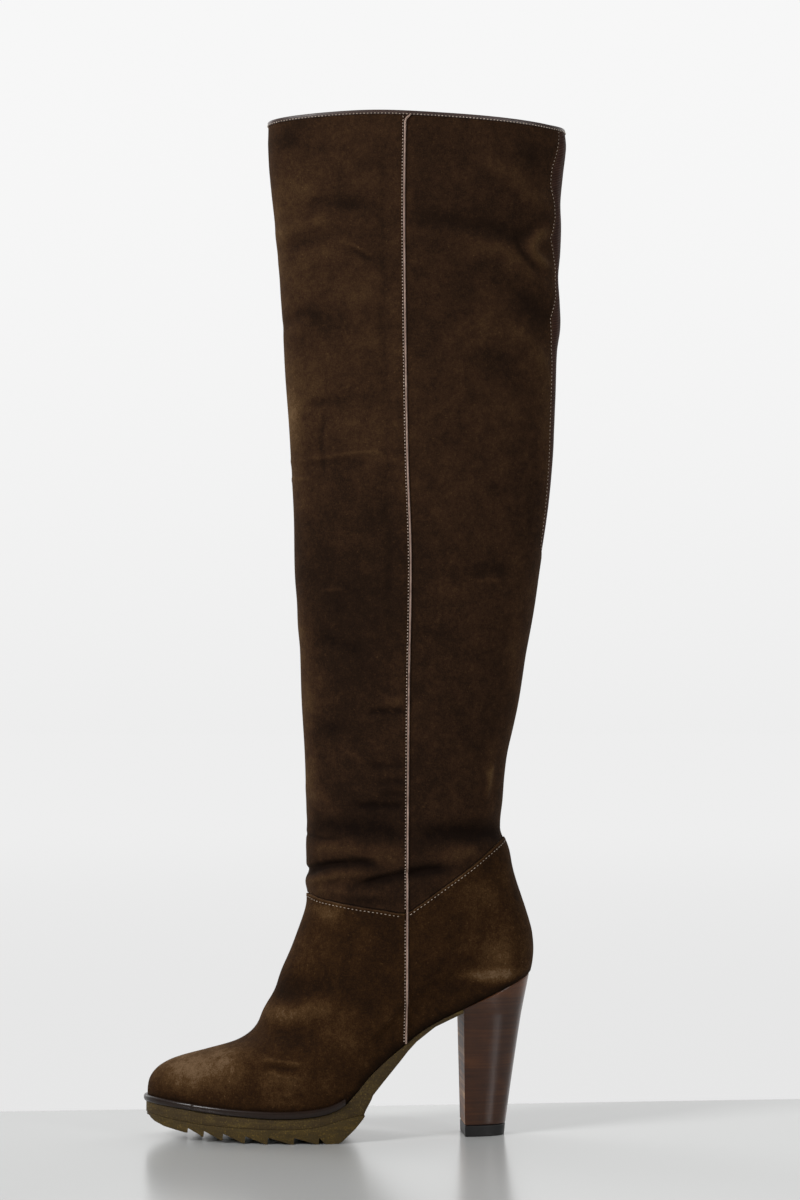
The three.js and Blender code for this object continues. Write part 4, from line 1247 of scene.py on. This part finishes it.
def studio_light(nodes, direction):
    """Brightness of the studio against direction: a white wall behind the boot, a dimmer room in front."""
    split = nodes.add("ShaderNodeSeparateXYZ", Vector=direction).outputs
    wall = nodes.moved(split["Z"], (-0.35, 0.24), (WALL_LOW, WALL_HIGH), SMOOTH)
    return nodes.moved(split["Y"], (-0.25, 0.8), (ROOM_GREY, wall), SMOOTH)


def build_world():
    world = bpy.data.worlds.new("studio")
    bpy.context.scene.world = world
    world.use_nodes = True
    nodes = Nodes(world.node_tree)
    light = studio_light(nodes, nodes.add("ShaderNodeTexCoord").outputs["Generated"])
    background = nodes.add("ShaderNodeBackground", Color=light)
    nodes.add("ShaderNodeOutputWorld", Surface=background.outputs[0])


def floor_finish():
    """Grey satin floor near the boot, running out into the studio's own brightness."""
    f = Finish("studio_floor", Roughness=0.2, Specular_IOR_Level=0.5)
    spot = f.add("ShaderNodeNewGeometry").outputs["Position"]
    split = f.add("ShaderNodeSeparateXYZ", Vector=spot).outputs
    # painted shade: the floor is painted darker towards -X, to even out the key lamp's light on its left
    tone = f.math("ADD", split["X"], f.blend(0.5, [(f.noise(400, 2), 0.2)]))
    f.join(f.shader, {"Base Color": f.ramp(tone, [(0.0, "acadac"), (0.5, "cacbca"), (1.0, "d0d1d0")])})
    depth = f.math("MULTIPLY_ADD", split["X"], WALL_TURN, split["Y"])
    behind = f.moved(depth, (WALL_Y - WALL_SOFT, WALL_Y + WALL_SOFT), curve=SMOOTH)
    reach = f.add("ShaderNodeVectorMath", {"operation": "LENGTH"}, Vector=spot).outputs["Value"]
    unit = f.add("ShaderNodeVectorMath", {"operation": "NORMALIZE"}, Vector=spot).outputs[0]
    room = studio_light(f, unit)
    sweep = f.moved(reach, (0.2, 5.0), (SWEEP_NEAR, room), SMOOTH)
    glow = f.add("ShaderNodeEmission", Color=f.moved(behind, UNIT, (room, sweep), SMOOTH))
    share = f.math("MAXIMUM", behind, f.moved(reach, (1.2, 4.0), curve=SMOOTH))
    mixed = f.add("ShaderNodeMixShader", Fac=share)
    f.put(mixed.inputs[1], f.shader.outputs[0])
    f.put(mixed.inputs[2], glow.outputs[0])
    f.put(f.surface, mixed.outputs[0])
    return f.material


def build_floor():
    mesh = bpy.data.meshes.new("studio_floor")
    corners = [(-1, -1), (1, -1), (1, 1), (-1, 1)]
    mesh.from_pydata([(FLOOR_HALF * x, FLOOR_HALF * y, 0) for x, y in corners], [], [(0, 1, 2, 3)])
    mesh.materials.append(floor_finish())
    floor = bpy.data.objects.new("studio_floor", mesh)
    bpy.context.scene.collection.objects.link(floor)


def aim(thing, target):
    thing.rotation_euler = (Vector(target) - thing.location).to_track_quat("-Z", "Y").to_euler()


def soft_box(name, place, target, size, power):
    light = bpy.data.lights.new(name, "AREA")
    light.shape = "RECTANGLE"
    light.size, light.size_y = size
    light.energy = power
    box = bpy.data.objects.new(name, light)
    box.location = place
    bpy.context.scene.collection.objects.link(box)
    aim(box, target)


def build_camera():
    """The camera stands 1.85 m off and 26 cm up, a little to the toe's side, and looks slightly up."""
    yaw, pitch = math.radians(4.5), math.radians(2.236)
    ahead = Vector((math.sin(yaw) * math.cos(pitch), math.cos(yaw) * math.cos(pitch), math.sin(pitch)))
    camera = bpy.data.cameras.new("camera")
    camera.lens = 88.9
    camera.sensor_width = 36
    view = bpy.data.objects.new("camera", camera)
    view.location = (-0.1186, -1.8443, 0.2594)
    bpy.context.scene.collection.objects.link(view)
    aim(view, view.location + ahead)
    bpy.context.scene.camera = view


build_world()
build_floor()
soft_box("key", (-1.9, -1.35, 1.6), (0, 0, 0.3), (0.8, 1.2), 52)
soft_box("fill", (1.7, -1.9, 0.8), (0, 0, 0.3), (0.28, 1.7), 18)
soft_box("back_left", (-1.2, 1.3, 1.0), (0, 0, 0.35), (0.8, 1.4), 7)
soft_box("back_right", (1.3, 1.2, 0.9), (0, 0, 0.3), (0.8, 1.4), 5)
build_camera()
bpy.context.scene.view_settings.view_transform = "Standard"
